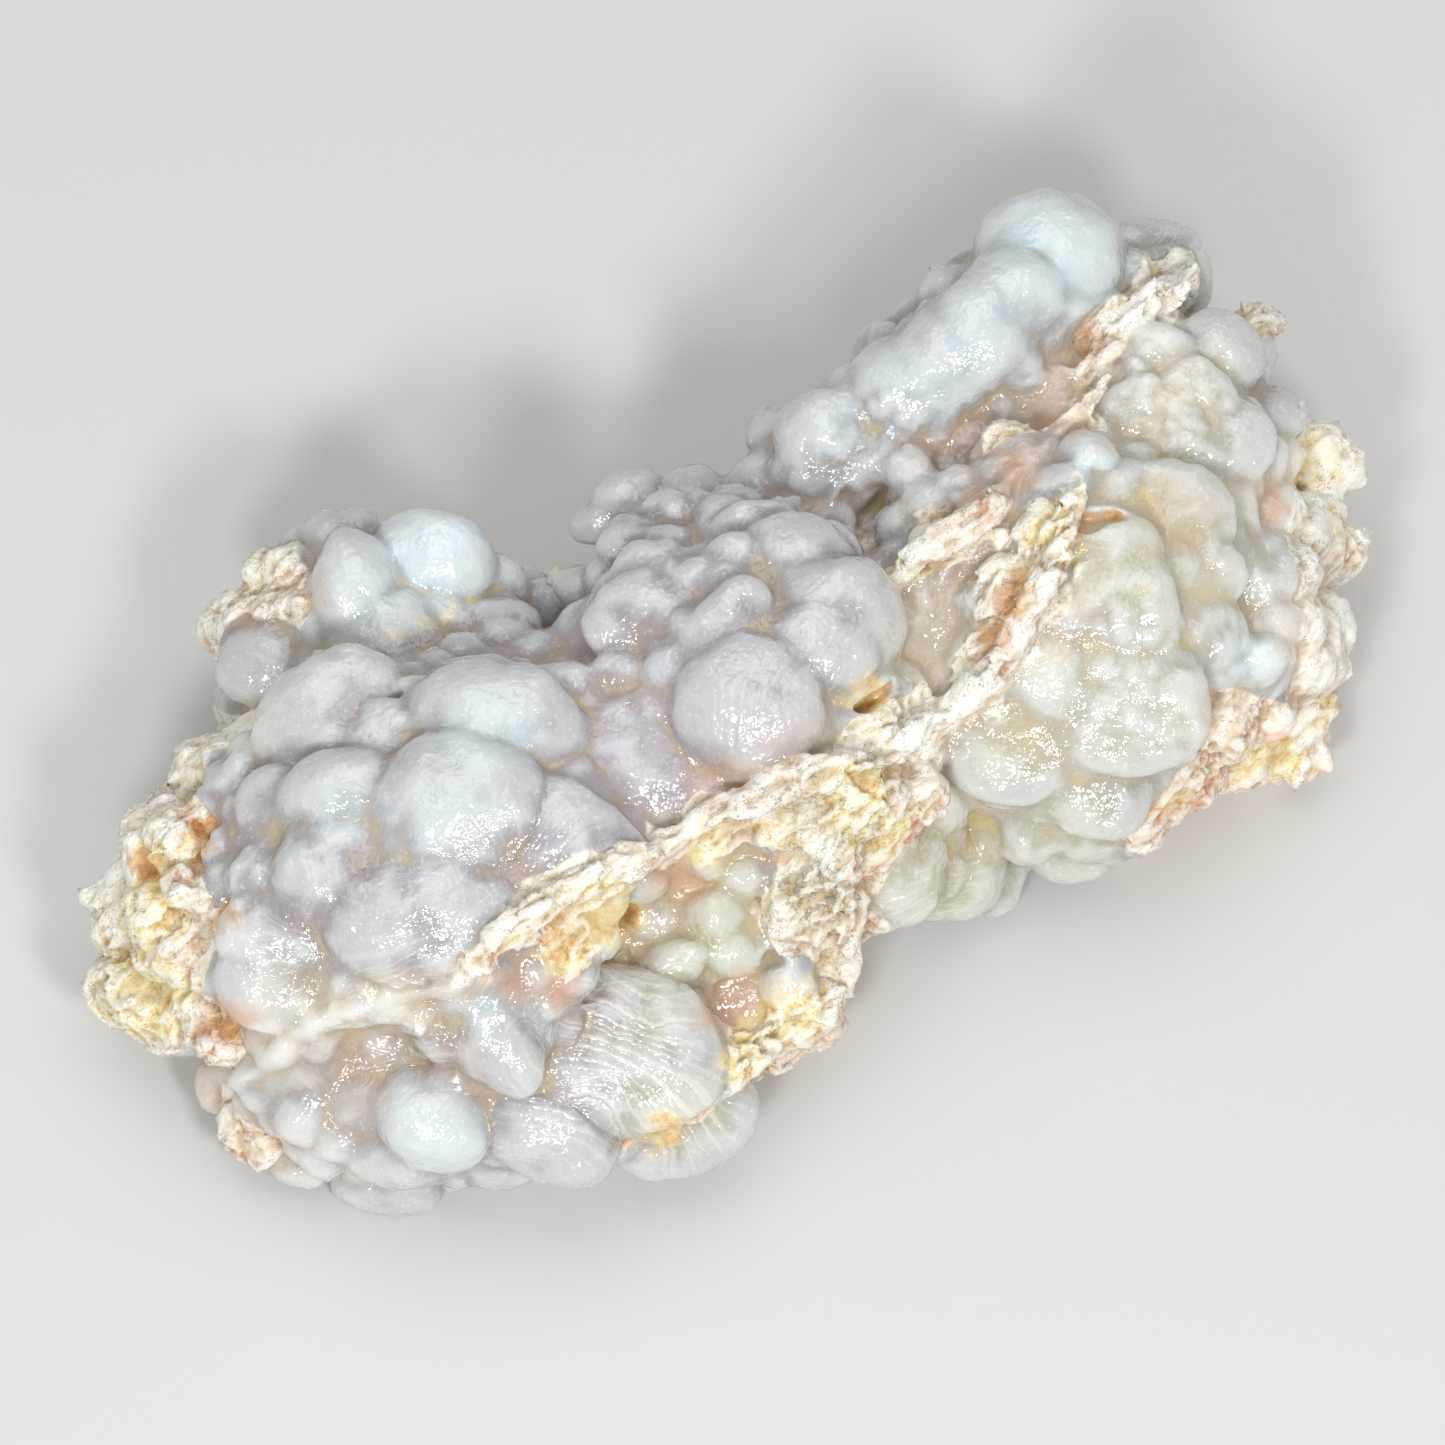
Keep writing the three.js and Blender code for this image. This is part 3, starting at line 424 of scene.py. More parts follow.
CREAM = [
    [-18.4, -18.6, 2.2, 0.7], [-22.4, -19.8, 2.6, 0.9], [-26.6, -21.0, 2.8, 0.9], [-30.6, -23.0, 2.8, 0.9],
    [-31.0, -19.6, 2.6, 0.5], [-28.4, -30.6, 4.0, 0.4], [-34.4, -26.4, 2.4, 0.6], [20.6, 2.6, 2.4, 0.8],
    [22.8, 6.6, 1.8, 0.6], [22.0, 20.4, 2.0, 0.6], [28.6, 25.6, 3.0, 0.8], [30.6, 21.6, 3.4, 0.5],
    [12.4, -3.6, 2.6, 0.7], [14.8, -0.4, 2.4, 0.8], [35.6, 14.2, 2.6, 0.5], [31.2, -1.0, 3.0, 0.5],
    [-33.0, -1.6, 2.4, 0.6], [-5.6, 0.6, 1.8, 0.3], [2.6, -20.4, 2.4, 0.6], [-32.6, -16.4, 2.0, 0.5],
    [40.0, 14.4, 5.0, 1.0], [40.6, 4.6, 5.0, 1.0], [38.6, -3.0, 3.4, 0.6], [-40.4, -20.4, 3.4, 0.7],
    [-40.6, -12.0, 3.0, 0.8], [1.0, -6.0, 2.2, 0.5], [-3.6, -8.9, 2.0, 0.5], [28.0, 25.6, 2.4, 0.9],
]
# Where bubbles of opal are clearest.
GLASSY = [
    [-2.6, -14.4, 5.0, 1.0], [-0.6, -17.0, 3.4, 0.9], [14.0, -11.2, 5.6, 0.8], [22.6, -9.6, 4.0, 0.7],
    [18.4, -3.0, 3.2, 0.8], [29.6, 12.2, 3.4, 0.8], [25.1, 9.2, 3.0, 0.5], [-7.4, -24.4, 3.6, 0.5],
    [-3.6, -27.2, 3.6, 0.6], [16.6, 8.6, 3.0, 0.5], [12.0, 3.6, 3.0, 0.4], [33.6, 22.8, 2.6, 0.4],
]
# Where lumps have grown together until their creases are nearly gone.
FUSED = [
    [19.4, 27.4, 3.6, 1.0], [16.4, 24.4, 4.4, 1.0], [12.4, 21.8, 4.2, 1.0], [9.2, 19.8, 3.0, 0.7],
    [14.0, -11.6, 5.4, 0.6], [23.0, -8.0, 4.6, 0.5], [30.0, 11.6, 4.4, 0.7], [30.6, 18.6, 4.0, 0.4],
    [-16.2, -22.2, 4.0, 0.8],
    [-31.0, 1.0, 3.4, 0.4], [-28.0, -15.6, 5.0, 0.3], [-26.0, -24.0, 6.0, 0.7],
    [-30.6, -7.6, 3.0, 0.3], [-16.0, 3.0, 3.4, 0.3], [-10.0, 1.2, 4.2, 0.3], [-9.0, 11.4, 4.6, 0.3],
]
# Where the opal is set with beads.
BEADED = [
    [10.4, 18.6, 3.6, 1.0], [6.4, 17.2, 2.8, 0.6], [15.6, 16.8, 3.2, 1.0], [19.2, 20.2, 2.6, 0.8],
    [30.4, 19.6, 4.6, 0.9], [27.4, 22.4, 2.8, 0.8], [26.6, 3.4, 5.0, 0.7], [-33.0, -12.6, 2.4, 0.9],
    [25.8, 0.0, 4.4, 0.6], [31.8, 4.6, 4.0, 0.6], [24.2, -5.0, 3.4, 0.4], [20.6, -9.0, 3.4, 0.5],
    [13.6, -11.4, 5.0, 0.5], [33.4, 9.4, 3.0, 0.5], [-4.6, 11.2, 4.6, 0.5], [3.6, 12.0, 3.4, 0.5],
    [-24.4, -22.6, 5.0, 0.4], [-30.0, -10.0, 4.0, 0.5], [-13.4, 4.0, 4.0, 0.25], [19.4, 24.0, 2.4, 0.2],
    [-31.6, -9.4, 2.0, 0.6], [7.8, -11.0, 2.0, 0.9], [29.8, -1.6, 2.6, 0.7], [13.6, 6.6, 3.0, 0.4],
]
GRIT = [
    [5.0, -13.2, 3.4, 1.0], [8.6, -8.6, 2.2, 0.7], [9.0, -4.6, 1.4, 0.8], [-41.0, -19.0, 3.2, 0.7],
    [39.6, 9.0, 3.0, 0.6], [40.0, 2.0, 3.0, 0.4], [2.4, -22.6, 2.6, 0.4], [-31.0, -21.6, 2.4, 0.4],
    [4.0, -5.8, 3.0, 0.8], [-0.4, -8.0, 2.0, 0.5], [21.4, 17.0, 2.0, 0.3], [9.2, 8.4, 1.8, 0.6], [-8.8, -15.0, 2.4, 0.4],
]

across = Vector((1, 0, 0))
up = Vector((0, sin(SIGHT_ELEVATION), cos(SIGHT_ELEVATION)))
towards_eye = across.cross(up)
VIEW = Matrix((across, up, towards_eye)).transposed().to_4x4()
ALONG_EDGES = Matrix.Rotation(radians(38), 3, "Z")
BREAK_GRAIN = np.array(VIEW.to_3x3() @ ALONG_EDGES @ Matrix.Diagonal((0.6, 1, 1)))
GRAIN_TURN = (Matrix.Rotation(LENGTH_TURN, 3, "Z") @ VIEW.to_3x3() @ ALONG_EDGES).to_euler()
LAYERING = np.array((0.5, 1, 1))
TO_ROW = Matrix.Scale(MM, 4) @ Matrix.Rotation(LENGTH_TURN, 4, "Z") @ Matrix.Translation(-BASE_MIDDLE)


def chance(n):
    """A repeatable number from 0 to 1 for each whole number."""
    wave = np.sin(n * 12.9898 + 4.1414) * 43758.5453
    return wave - np.floor(wave)


def point_on(u, v, depth):
    return across * u + up * v + towards_eye * depth


def stretched(length, width, depth):
    return Matrix.Diagonal((length, width, depth, 1))


def placed(centre, length, width, depth, turn):
    return Matrix.Translation(centre) @ VIEW @ Matrix.Rotation(radians(turn), 4, "Z") @ stretched(length, width, depth)


def mass_matrix(row):
    x, y, z, length, width, height, turn = row
    return Matrix.Translation((x, y, z)) @ Matrix.Rotation(radians(turn), 4, "Z") @ stretched(length, width, height)


def stretch_inside(inverse, u, v):
    """Where a line of sight is inside a stretched ball, far and near, and by how much it misses."""
    start = inverse @ point_on(u, v, 0)
    along = inverse @ (point_on(u, v, 0) + towards_eye) - start
    a = along.dot(along)
    b = start.dot(along)
    inside = b * b - a * (start.dot(start) - 1)
    half = sqrt(max(inside, 0)) / a
    return -b / a - half, -b / a + half, max(-inside / a, 0)


MASS_INVERSES = [mass_matrix(row).inverted() for row in BODY]


def body_depth(u, v, side=NEAR):
    stretches = [stretch_inside(inverse, u, v) for inverse in MASS_INVERSES]
    hits = [stretch for stretch in stretches if stretch[2] == 0]
    if not hits:
        return min(stretches, key=lambda stretch: stretch[2])[1]
    return max(near for far, near, short in hits) if side > 0 else min(far for far, near, short in hits)


def on_body(u, v):
    return any(stretch_inside(inverse, u, v)[2] == 0 for inverse in MASS_INVERSES)


POCKET_MATRICES = [
    placed(point_on(u, v, body_depth(u, v) + lift), length, width, width, turn)
    for u, v, lift, length, width, turn in POCKETS
]
POCKET_INVERSES = [matrix.inverted() for matrix in POCKET_MATRICES]


def floor_depth(u, v):
    depth = body_depth(u, v)
    for inverse in POCKET_INVERSES:
        far, near, short = stretch_inside(inverse, u, v)
        if short == 0 and far < depth < near:
            depth = far
    return depth


def lump_matrix(row, spread=0.0, flatten=1.0):
    u, v, lift, length, width, turn = row
    depth = LUMP_SWELL * min(length, width)
    centre = point_on(u, v, floor_depth(u, v) + lift - LUMP_SINK * depth)
    return placed(centre, LUMP_SWELL * length + spread, LUMP_SWELL * width + spread, flatten * depth, turn)


def pillow_matrix(row, flatten=PILLOW_FLATTEN):
    """A lump that spreads at its foot until it meets its neighbours, unless it stands on the outline."""
    u, v, lift, length, width, turn = row
    spread = PILLOW_SPREAD * min(length, width)
    reach = max(length, width) + spread
    rim = [(u + reach * cos(a), v + reach * sin(a)) for a in np.arange(8) * pi / 4]
    if all(on_body(*place) for place in rim):
        return lump_matrix(row, spread, flatten)
    return lump_matrix(row)


def knob_matrix(row):
    u, v, lift, length, width, turn = row
    depth = max(length, width)
    return placed(point_on(u, v, body_depth(u, v) + lift - LUMP_SINK * depth), length, width, depth, turn)


def flat_face(row):
    """A smooth break across the opal, turned to the eye."""
    u, v, lift, length, width, turn = row
    return placed(point_on(u, v, floor_depth(u, v) + lift), length, width, 0.5, turn)


def hollow_matrix(row):
    u, v, lift, length, width, turn = row
    return placed(point_on(u, v, body_depth(u, v) + lift), length, width, 0.65 * max(length, width), turn)


def along_edge(line, spacing):
    """Even steps along a smooth curve through the line's points, with the measures between them."""
    points = np.array(line)
    padded = np.vstack([2 * points[0] - points[1], points, 2 * points[-1] - points[-2]])
    fine = []
    for i in range(len(points) - 1):
        p0, p1, p2, p3 = padded[i : i + 4]
        for t in np.linspace(0, 1, 24, endpoint=False):
            cubic = 2 * p1 + (p2 - p0) * t + (2 * p0 - 5 * p1 + 4 * p2 - p3) * t**2
            fine.append(0.5 * (cubic + (3 * p1 - p0 - 3 * p2 + p3) * t**3))
    fine = np.array(fine + [points[-1]])
    run = np.concatenate([[0], np.cumsum(np.hypot(*np.diff(fine[:, :2], axis=0).T))])
    count = round(run[-1] / spacing)
    at = np.linspace(0, run[-1], count + 1)
    steps = np.array([np.interp(at, run, fine[:, k]) for k in range(4)]).T
    heading = np.gradient(steps[:, :2], axis=0)
    return steps, heading


def edge_matrices(line, share, spacing=CRAG_SPACING):
    """The core of a broken edge."""
    steps, headings = along_edge(line, spacing)
    matrices = []
    for (u, v, lift, width), heading in zip(steps, headings):
        turn = degrees(atan2(heading[1], heading[0]))
        depth = width + CRAG_ROOT
        centre = point_on(u, v, body_depth(u, v) + lift - CRAG_SINK * depth)
        matrices.append(placed(centre, spacing, share * width, 0.86 * depth, turn))
    return matrices


def smooth_span(index, u):
    """How an edge is stretched where it is smooth opal, and None where it is crust."""
    for edge, start, end, stretch in SMOOTH_SPANS:
        if index == edge and start < u < end:
            return stretch
    return None


def plate_matrices(line, index):
    """Thin plates that lie along a broken edge, stepped over one another, but not at the two ends."""
    if index in END_EDGES:
        return []
    steps, headings = along_edge(line, PLATE["spacing"])
    matrices = []
    for i, ((u, v, lift, width), heading) in enumerate(zip(steps, headings)):
        if smooth_span(index, u):
            continue
        aside = np.array([-heading[1], heading[0]]) / np.hypot(*heading)
        for k in range(PLATE["abreast"]):
            seed = index * 977 + i * 13 + k
            wander = noise.noise((0.3 * u, 0.3 * v, 5.0 + index))
            shift = CRUST_SHARE[index] * width * (2 * (k + chance(seed)) / PLATE["abreast"] - 1 + 0.9 * wander)
            at_u, at_v = u + aside[0] * shift, v + aside[1] * shift
            length = PLATE["length"] * (0.55 + 0.9 * chance(seed + 51))
            wide = PLATE["width"] * (0.6 + 0.8 * chance(seed + 87))
            thick = PLATE["thickness"] * (0.7 + 0.7 * chance(seed + 87))
            turn = degrees(atan2(heading[1], heading[0])) + 14 * (chance(seed + 3) - 0.5)
            shoulder = 0.5 * (width + CRAG_ROOT) * (1 - sqrt(max(0, 1 - (shift / (1.3 * width)) ** 2)))
            top = (1 - CRAG_SINK) * 0.8 * (width + CRAG_ROOT) - shoulder + 0.5 * (chance(seed + 7) - 0.5) - 0.3
            top += 0.7 * noise.noise((0.45 * u, 0.45 * v, 21.0 + k))
            centre = point_on(at_u, at_v, body_depth(u, v) + lift + top)
            tilt = Matrix.Rotation(0.5 * (chance(seed + 63) - 0.5), 4, towards_eye.cross(up))
            flake = placed(Vector(), length, wide, thick, turn)
            matrices.append(Matrix.Translation(centre) @ tilt @ flake)
    return matrices


def back_matrices():
    """Lumps on the side that the eye doesn't see, kept inside the outline of the body."""
    matrices = []
    seed = 500
    low_v, high_v, step_v = BACK_GRID["up"]
    low_u, high_u, step_u = BACK_GRID["across"]
    for row_v in range(low_v, high_v + 1, step_v):
        for row_u in range(low_u, high_u + 1, step_u):
            seed += 1
            spread = BACK_LUMP["largest"] - BACK_LUMP["smallest"]
            radius = BACK_LUMP["smallest"] + spread * chance(seed)
            u = row_u + 2.4 * (chance(seed + 11) - 0.5)
            v = row_v + 2.4 * (chance(seed + 23) - 0.5)
            far = body_depth(u, v, FAR)
            centre = point_on(u, v, far + 0.3 * radius)
            thick = body_depth(u, v) - far
            if thick > 2 * radius + BACK_LUMP["margin"] and centre.z > 0.3 * radius:
                matrices.append(placed(centre, radius, 0.9 * radius, 0.8 * radius, 90 * chance(seed + 5)))
    return matrices


def near_bubble(u, v):
    return any(hypot(u - row[0], v - row[1]) < row[3] + 0.8 for row in BUBBLES)


def bud_matrices():
    """Small lumps at scattered places over the whole display face."""
    matrices = []
    seed = 2000
    for v in np.arange(-36, 36, BUD_STEP):
        for u in np.arange(-44, 44, BUD_STEP):
            seed += 1
            at_u = u + BUD_STEP * 0.8 * (chance(seed) - 0.5)
            at_v = v + BUD_STEP * 0.8 * (chance(seed + 17) - 0.5)
            if not on_body(at_u, at_v) or near_bubble(at_u, at_v):
                continue
            radius = BUD_RADIUS[0] + (BUD_RADIUS[1] - BUD_RADIUS[0]) * chance(seed + 29)
            centre = point_on(at_u, at_v, floor_depth(at_u, at_v) - BUD_SINK * radius)
            if centre.z > radius:
                stretch = 1 + 0.35 * chance(seed + 31)
                matrices.append(placed(centre, radius * stretch, radius, radius, 180 * chance(seed + 37)))
    return matrices


def ball_mesh(name, matrices, finest=5):
    """One mesh of stretched balls, each closed in itself, with more facets on the bigger ones."""
    balls = {}
    for detail in range(2, finest + 1):
        bm = bmesh.new()
        bmesh.ops.create_icosphere(bm, subdivisions=detail, radius=1)
        balls[detail] = bpy.data.meshes.new(name)
        bm.to_mesh(balls[detail])
        bm.free()
    bm = bmesh.new()
    for matrix in matrices:
        size = max(matrix.col[k].to_3d().length for k in range(3))
        detail = min(finest, 2 + (size > 0.9) + (size > 2.2) + (size > 4.5) + (size > 8))
        ball = balls[detail].copy()
        ball.transform(matrix)
        bm.from_mesh(ball)
        bpy.data.meshes.remove(ball)
    mesh = bpy.data.meshes.new(name)
    bm.to_mesh(mesh)
    bm.free()
    for ball in balls.values():
        bpy.data.meshes.remove(ball)
    piece = bpy.data.objects.new(name, mesh)
    bpy.context.scene.collection.objects.link(piece)
    return piece


def crag_mesh(name, matrices, jag):
    """One mesh of angular stones, no two alike."""
    bm = bmesh.new()
    bmesh.ops.create_icosphere(bm, subdivisions=2, radius=1)
    plain = bpy.data.meshes.new(name)
    bm.to_mesh(plain)
    bm.free()
    corners = read(plain, "co", 3)
    bm = bmesh.new()
    for index, matrix in enumerate(matrices):
        stretch = 1 + jag * (2 * chance(np.arange(len(corners)) + 42.0 * index) - 1)
        plain.vertices.foreach_set("co", (corners * stretch[:, None]).astype(np.float32).ravel())
        crag = plain.copy()
        crag.transform(matrix)
        bm.from_mesh(crag)
        bpy.data.meshes.remove(crag)
    bm.to_mesh(plain)
    bm.free()
    piece = bpy.data.objects.new(name, plain)
    bpy.context.scene.collection.objects.link(piece)
    return piece


def crumb_matrices(crags, each):
    """Small broken bits on the crags of the matrix."""
    matrices = []
    for index, crag in enumerate(crags):
        for k in range(each):
            seed = 7000 + 31 * index + k
            bearing, rise_up = 2 * pi * chance(seed), 0.1 + 0.9 * chance(seed + 9000)
            level = sqrt(1 - rise_up**2)
            centre = crag @ (0.93 * Vector((level * cos(bearing), level * sin(bearing), rise_up)))
            if centre.z > 1.2:
                size = CRUMB_SIZE[0] + (CRUMB_SIZE[1] - CRUMB_SIZE[0]) * chance(seed + 15000) ** 2
                flat = 0.45 + 0.5 * chance(seed + 21000)
                turn = Matrix.Rotation(pi * chance(seed + 27000), 4, Vector((0.4, 0.5, 0.8)))
                matrices.append(Matrix.Translation(centre) @ turn @ stretched(size, size * 0.8, size * flat))
    return matrices


def settle(piece):
    """Applies the modifiers of a piece to its mesh."""
    graph = bpy.context.evaluated_depsgraph_get()
    mesh = bpy.data.meshes.new_from_object(piece.evaluated_get(graph))
    old = piece.data
    piece.modifiers.clear()
    piece.data = mesh
    bpy.data.meshes.remove(old)


def melt(piece, grain):
    """Joins the shells of a piece into one skin, with grain millimetres to a facet."""
    remesh = piece.modifiers.new("melt", "REMESH")
    remesh.mode = "VOXEL"
    remesh.voxel_size = grain
    settle(piece)


def carve(piece, tool):
    cut = piece.modifiers.new("carve", "BOOLEAN")
    cut.operation = "DIFFERENCE"
    cut.solver = "MANIFOLD"
    cut.object = tool
    settle(piece)
    mesh = tool.data
    bpy.data.objects.remove(tool)
    bpy.data.meshes.remove(mesh)


def fuse(piece, others):
    """Puts the shells of the other pieces into this one's mesh."""
    bm = bmesh.new()
    bm.from_mesh(piece.data)
    for other in others:
        bm.from_mesh(other.data)
        mesh = other.data
        bpy.data.objects.remove(other)
        bpy.data.meshes.remove(mesh)
    bm.to_mesh(piece.data)
    bm.free()


def read(mesh, name, count):
    values = np.empty(len(mesh.vertices) * count, np.float32)
    mesh.vertices.foreach_get(name, values)
    return values.reshape(-1, count).astype(float)


def mesh_edges(mesh):
    edges = np.empty(len(mesh.edges) * 2, np.int32)
    mesh.edges.foreach_get("vertices", edges)
    return edges.reshape(-1, 2)


def smoothed(points, edges, times):
    """Each point drawn to the mean of its neighbours, again and again."""
    a, b = edges.T
    count = len(points)
    weight = 1 + np.bincount(a, minlength=count) + np.bincount(b, minlength=count)
    points = points.copy()
    for _ in range(times):
        total = points.copy()
        for k in range(points.shape[1]):
            column = points[:, k]
            total[:, k] += np.bincount(a, column[b], count) + np.bincount(b, column[a], count)
        points = total / weight[:, None]
    return points


def rise(value, low, high):
    """0 below low, 1 above high, and smooth between."""
    t = np.clip((value - low) / (high - low), 0, 1)
    return t * t * (3 - 2 * t)


def noise_at(points, size):
    return np.array([noise.noise(p) for p in (points / size).tolist()])


def drift_at(points, size):
    """A push in three directions. Blender's noise_vector isn't used, because it changes from run to run."""
    return np.column_stack([noise_at(points + away, size) for away in (0, 57, 113)])


def cells_at(points, size):
    """Distance to the nearest scattered point, for small domes."""
    return np.array([noise.voronoi(p)[0][0] for p in (points / size).tolist()])


def broken_faces(points, size, step, tilt):
    """Heights of broken rock: each scattered block stands at its own height, with a face of its own tilt."""
    scaled = points / size
    blocks = np.array([noise.voronoi(p)[1][0] for p in scaled.tolist()])
    height = chance(blocks @ np.array([1.7, 3.1, 5.3])) - 0.5
    turn = 2 * pi * chance(blocks @ np.array([4.1, 2.3, 6.7]))
    lean = 2 * chance(blocks @ np.array([2.9, 5.7, 1.3])) - 1
    level = np.sqrt(1 - lean**2)
    facing = np.column_stack([np.cos(turn) * level, np.sin(turn) * level, lean])
    return step * height + tilt * ((scaled - blocks) * facing).sum(1)


def layers_at(points, size):
    """Thin parallel ledges, from -1 in the grooves to 1 on the crests."""
    return 1 - 4 * np.abs(noise_at(points, size))


def shell_height(points, matrix):
    """How far points are outside a stretched ball, near its surface, in millimetres."""
    inverse = np.array(matrix.inverted())
    local = points @ inverse[:3, :3].T + inverse[:3, 3]
    lengths = [matrix.col[k].to_3d().length for k in range(3)]
    return (np.sqrt((local**2).sum(1)) - 1) * min(lengths)


def in_view(points):
    """Where points are across and up the view."""
    return np.column_stack([points @ np.array(across), points @ np.array(up)])


def patch(view_points, places):
    """The strongest of the soft round patches at each point."""
    value = np.zeros(len(view_points))
    for u, v, reach, strength in places:
        far = np.hypot(view_points[:, 0] - u, view_points[:, 1] - v) / reach
        value = np.maximum(value, strength * rise(1.25 - far, 0, 0.9))
    return value


def grow_stone():
    """The body with its pockets, then every lump and crag melted into it, then the base broken flat."""
    masses = [mass_matrix(row) for row in BODY]
    back = back_matrices()
    stone = ball_mesh("opal_stone_skin", masses + back, 6)
    melt(stone, 0.45)
    carve(stone, ball_mesh("pockets", POCKET_MATRICES))
    opal = [lump_matrix(row, 0.6, 0.66) for row in BANDED_SHELLS]
    opal += [pillow_matrix(row) for row in FIELD + VALLEY]
    opal += [pillow_matrix(row, LOW_FLATTEN) for row in RIGHT_FIELD]
    opal += [lump_matrix(row) for row in LONG_ROLL + FRONT_DOMES + BUBBLES + STANDING_BALLS]
    opal += [flat_face(row) for row in FLAT_FACES]
    buds = bud_matrices()
    knobs = [knob_matrix(row) for row in CRUST_KNOBS]
    edges, ends = [], []
    for index, (line, share) in enumerate(zip(BROKEN_EDGES, CRUST_SHARE)):
        for matrix in edge_matrices(line, share):
            stretch = smooth_span(index, matrix.translation.x)
            if stretch:
                opal.append(matrix @ stretched(*stretch))
            else:
                edges.append(matrix)
                if index in END_EDGES:
                    ends.append(matrix)
    plates = [matrix for index, line in enumerate(BROKEN_EDGES) for matrix in plate_matrices(line, index)]
    crust = knobs + edges + plates
    shells = [
        ball_mesh("lumps", opal),
        ball_mesh("buds", buds),
        crag_mesh("knobs", knobs + edges, 0.14),
        crag_mesh("plates", plates, 0.2),
        crag_mesh("crumbs", crumb_matrices(knobs, 4) + crumb_matrices(ends, 4), 0.22),
    ]
    fuse(stone, shells)
    melt(stone, SKIN_GRAIN)
    hollows = [hollow_matrix(row) for row in HOLLOWS]
    carve(stone, crag_mesh("hollows", hollows, 0.3))
    melt(stone, SKIN_GRAIN)
    bm = bmesh.new()
    bmesh.ops.create_cube(bm, size=1, matrix=Matrix.Translation((0, 0, -30)) @ stretched(200, 200, 60))
    table = bpy.data.meshes.new("below_base")
    bm.to_mesh(table)
    bm.free()
    below = bpy.data.objects.new("below_base", table)
    bpy.context.scene.collection.objects.link(below)
    carve(stone, below)
    return stone, {"masses": masses + back, "opal": opal, "buds": buds, "crust": crust, "hollows": hollows}


def nearest_shells(points, matrices):
    """For each point the nearest shell's height, and which shell that is."""
    first = np.full(len(points), 9.0)
    owner = np.full(len(points), -1)
    for index, matrix in enumerate(matrices):
        reach = 1.3 * max(matrix.col[k].to_3d().length for k in range(3)) + 1
        centre = np.array(matrix.translation)
        close = np.nonzero((np.abs(points - centre) < reach).all(1))[0]
        height = shell_height(points[close], matrix)
        owner[close[height < first[close]]] = index
        first[close] = np.minimum(first[close], height)
    return first, owner


def lengthen(vectors):
    return vectors / np.maximum(np.linalg.norm(vectors, axis=1, keepdims=True), 1e-9)


def growth_rings(points, owner, matrices):
    """Millimetres from each lump's own growing point, measured over the lump."""
    rings = np.zeros(len(points))
    for index, matrix in enumerate(matrices):
        mine = owner == index
        if not mine.any():
            continue
        shell = index < len(SHELL_LEANS)
        lean = SHELL_LEANS[index] if shell else 2 * pi * chance(index + 900)
        sideways = cos(lean) * np.array(across) + sin(lean) * np.array(up)
        pole = lengthen(((0.5 if shell else 1) * np.array(towards_eye) + 2.6 * sideways)[None])[0]
        spokes = lengthen(points[mine] - np.array(matrix.translation))
        size = min(matrix.col[k].to_3d().length for k in range(3))
        rings[mine] = size * np.arccos(np.clip(spokes @ pole, -1, 1))
    return rings


def roughen(stone, shells):
    """Pushes the skin in and out: soft dimples on the opal, crumbs and ledges on the broken matrix."""
    mesh = stone.data
    points = read(mesh, "co", 3)
    normals = np.empty(len(points) * 3, np.float32)
    mesh.vertex_normals.foreach_get("vector", normals)
    normals = normals.reshape(-1, 3).astype(float)
    broken = matrix_share(points, normals, shells)
    free = rise(points[:, 2], 0.1, 2.2)
    soft = smoothed(points, mesh_edges(mesh), SOFTENING)
    fused = (1 - broken) * free * patch(in_view(points), FUSED)
    points += (0.9 * (1 - broken) * free)[:, None] * (soft - points)
    blurred = smoothed(soft, mesh_edges(mesh), FUSING)
    hollow = np.maximum(((blurred - points) * normals).sum(1), 0)
    points += normals * (CREASE_FILL * hollow * (1 - broken) * free)[:, None]
    points += fused[:, None] * (blurred - points)
    bend = 0.55 * drift_at(points, 5.5) + 0.2 * drift_at(points + 17, 2.2)
    points += bend * free[:, None]
    beaded = patch(in_view(points), BEADED)
    push = (1 - broken) * (0.2 * noise_at(points, 2.8) + 0.09 * noise_at(points + 31, 1.2))
    set_with_beads = beaded > 0
    beads = points[set_with_beads]
    heights = 0.55 * (0.5 - cells_at(beads, 1.7)) + 0.3 * (0.45 - cells_at(beads + 41, 1.1))
    push[set_with_beads] += (1 - broken[set_with_beads]) * beaded[set_with_beads] * heights
    rough = broken > 0
    grain = points[rough] @ BREAK_GRAIN
    faces = broken_faces(grain, 2.1, 0.24, 0.4) + broken_faces(grain + 19, 1.0, 0.09, 0.15)
    ledges = 0.17 * layers_at(grain * LAYERING, 0.9)
    push[rough] += broken[rough] * (faces + ledges) * (1 - 0.5 * patch(in_view(points[rough]), CREAM))
    points += normals * (push * free)[:, None]
    points[:, 2] = np.maximum(points[:, 2], 0)
    mesh.vertices.foreach_set("co", points.astype(np.float32).ravel())
    mesh.update()


def matrix_share(points, normals, shells):
    """1 on the broken matrix of the edges and the sides, 0 on the opal."""
    opal = nearest_shells(points, shells["opal"])[0]
    crust = nearest_shells(points, shells["crust"])[0]
    edges = rise(opal - crust + 0.25 * noise_at(points, 1.3), -0.25, 0.25)
    bare = rise(np.minimum(opal, crust), 0.3, 1.2)
    side = rise(normals @ np.array(towards_eye), 0.25, -0.15)
    return np.maximum(edges, bare * side)


def thin_out(stone, most):
    stone.data.calc_loop_triangles()
    thin = stone.modifiers.new("thin", "DECIMATE")
    thin.ratio = min(1, most / len(stone.data.loop_triangles))
    settle(stone)


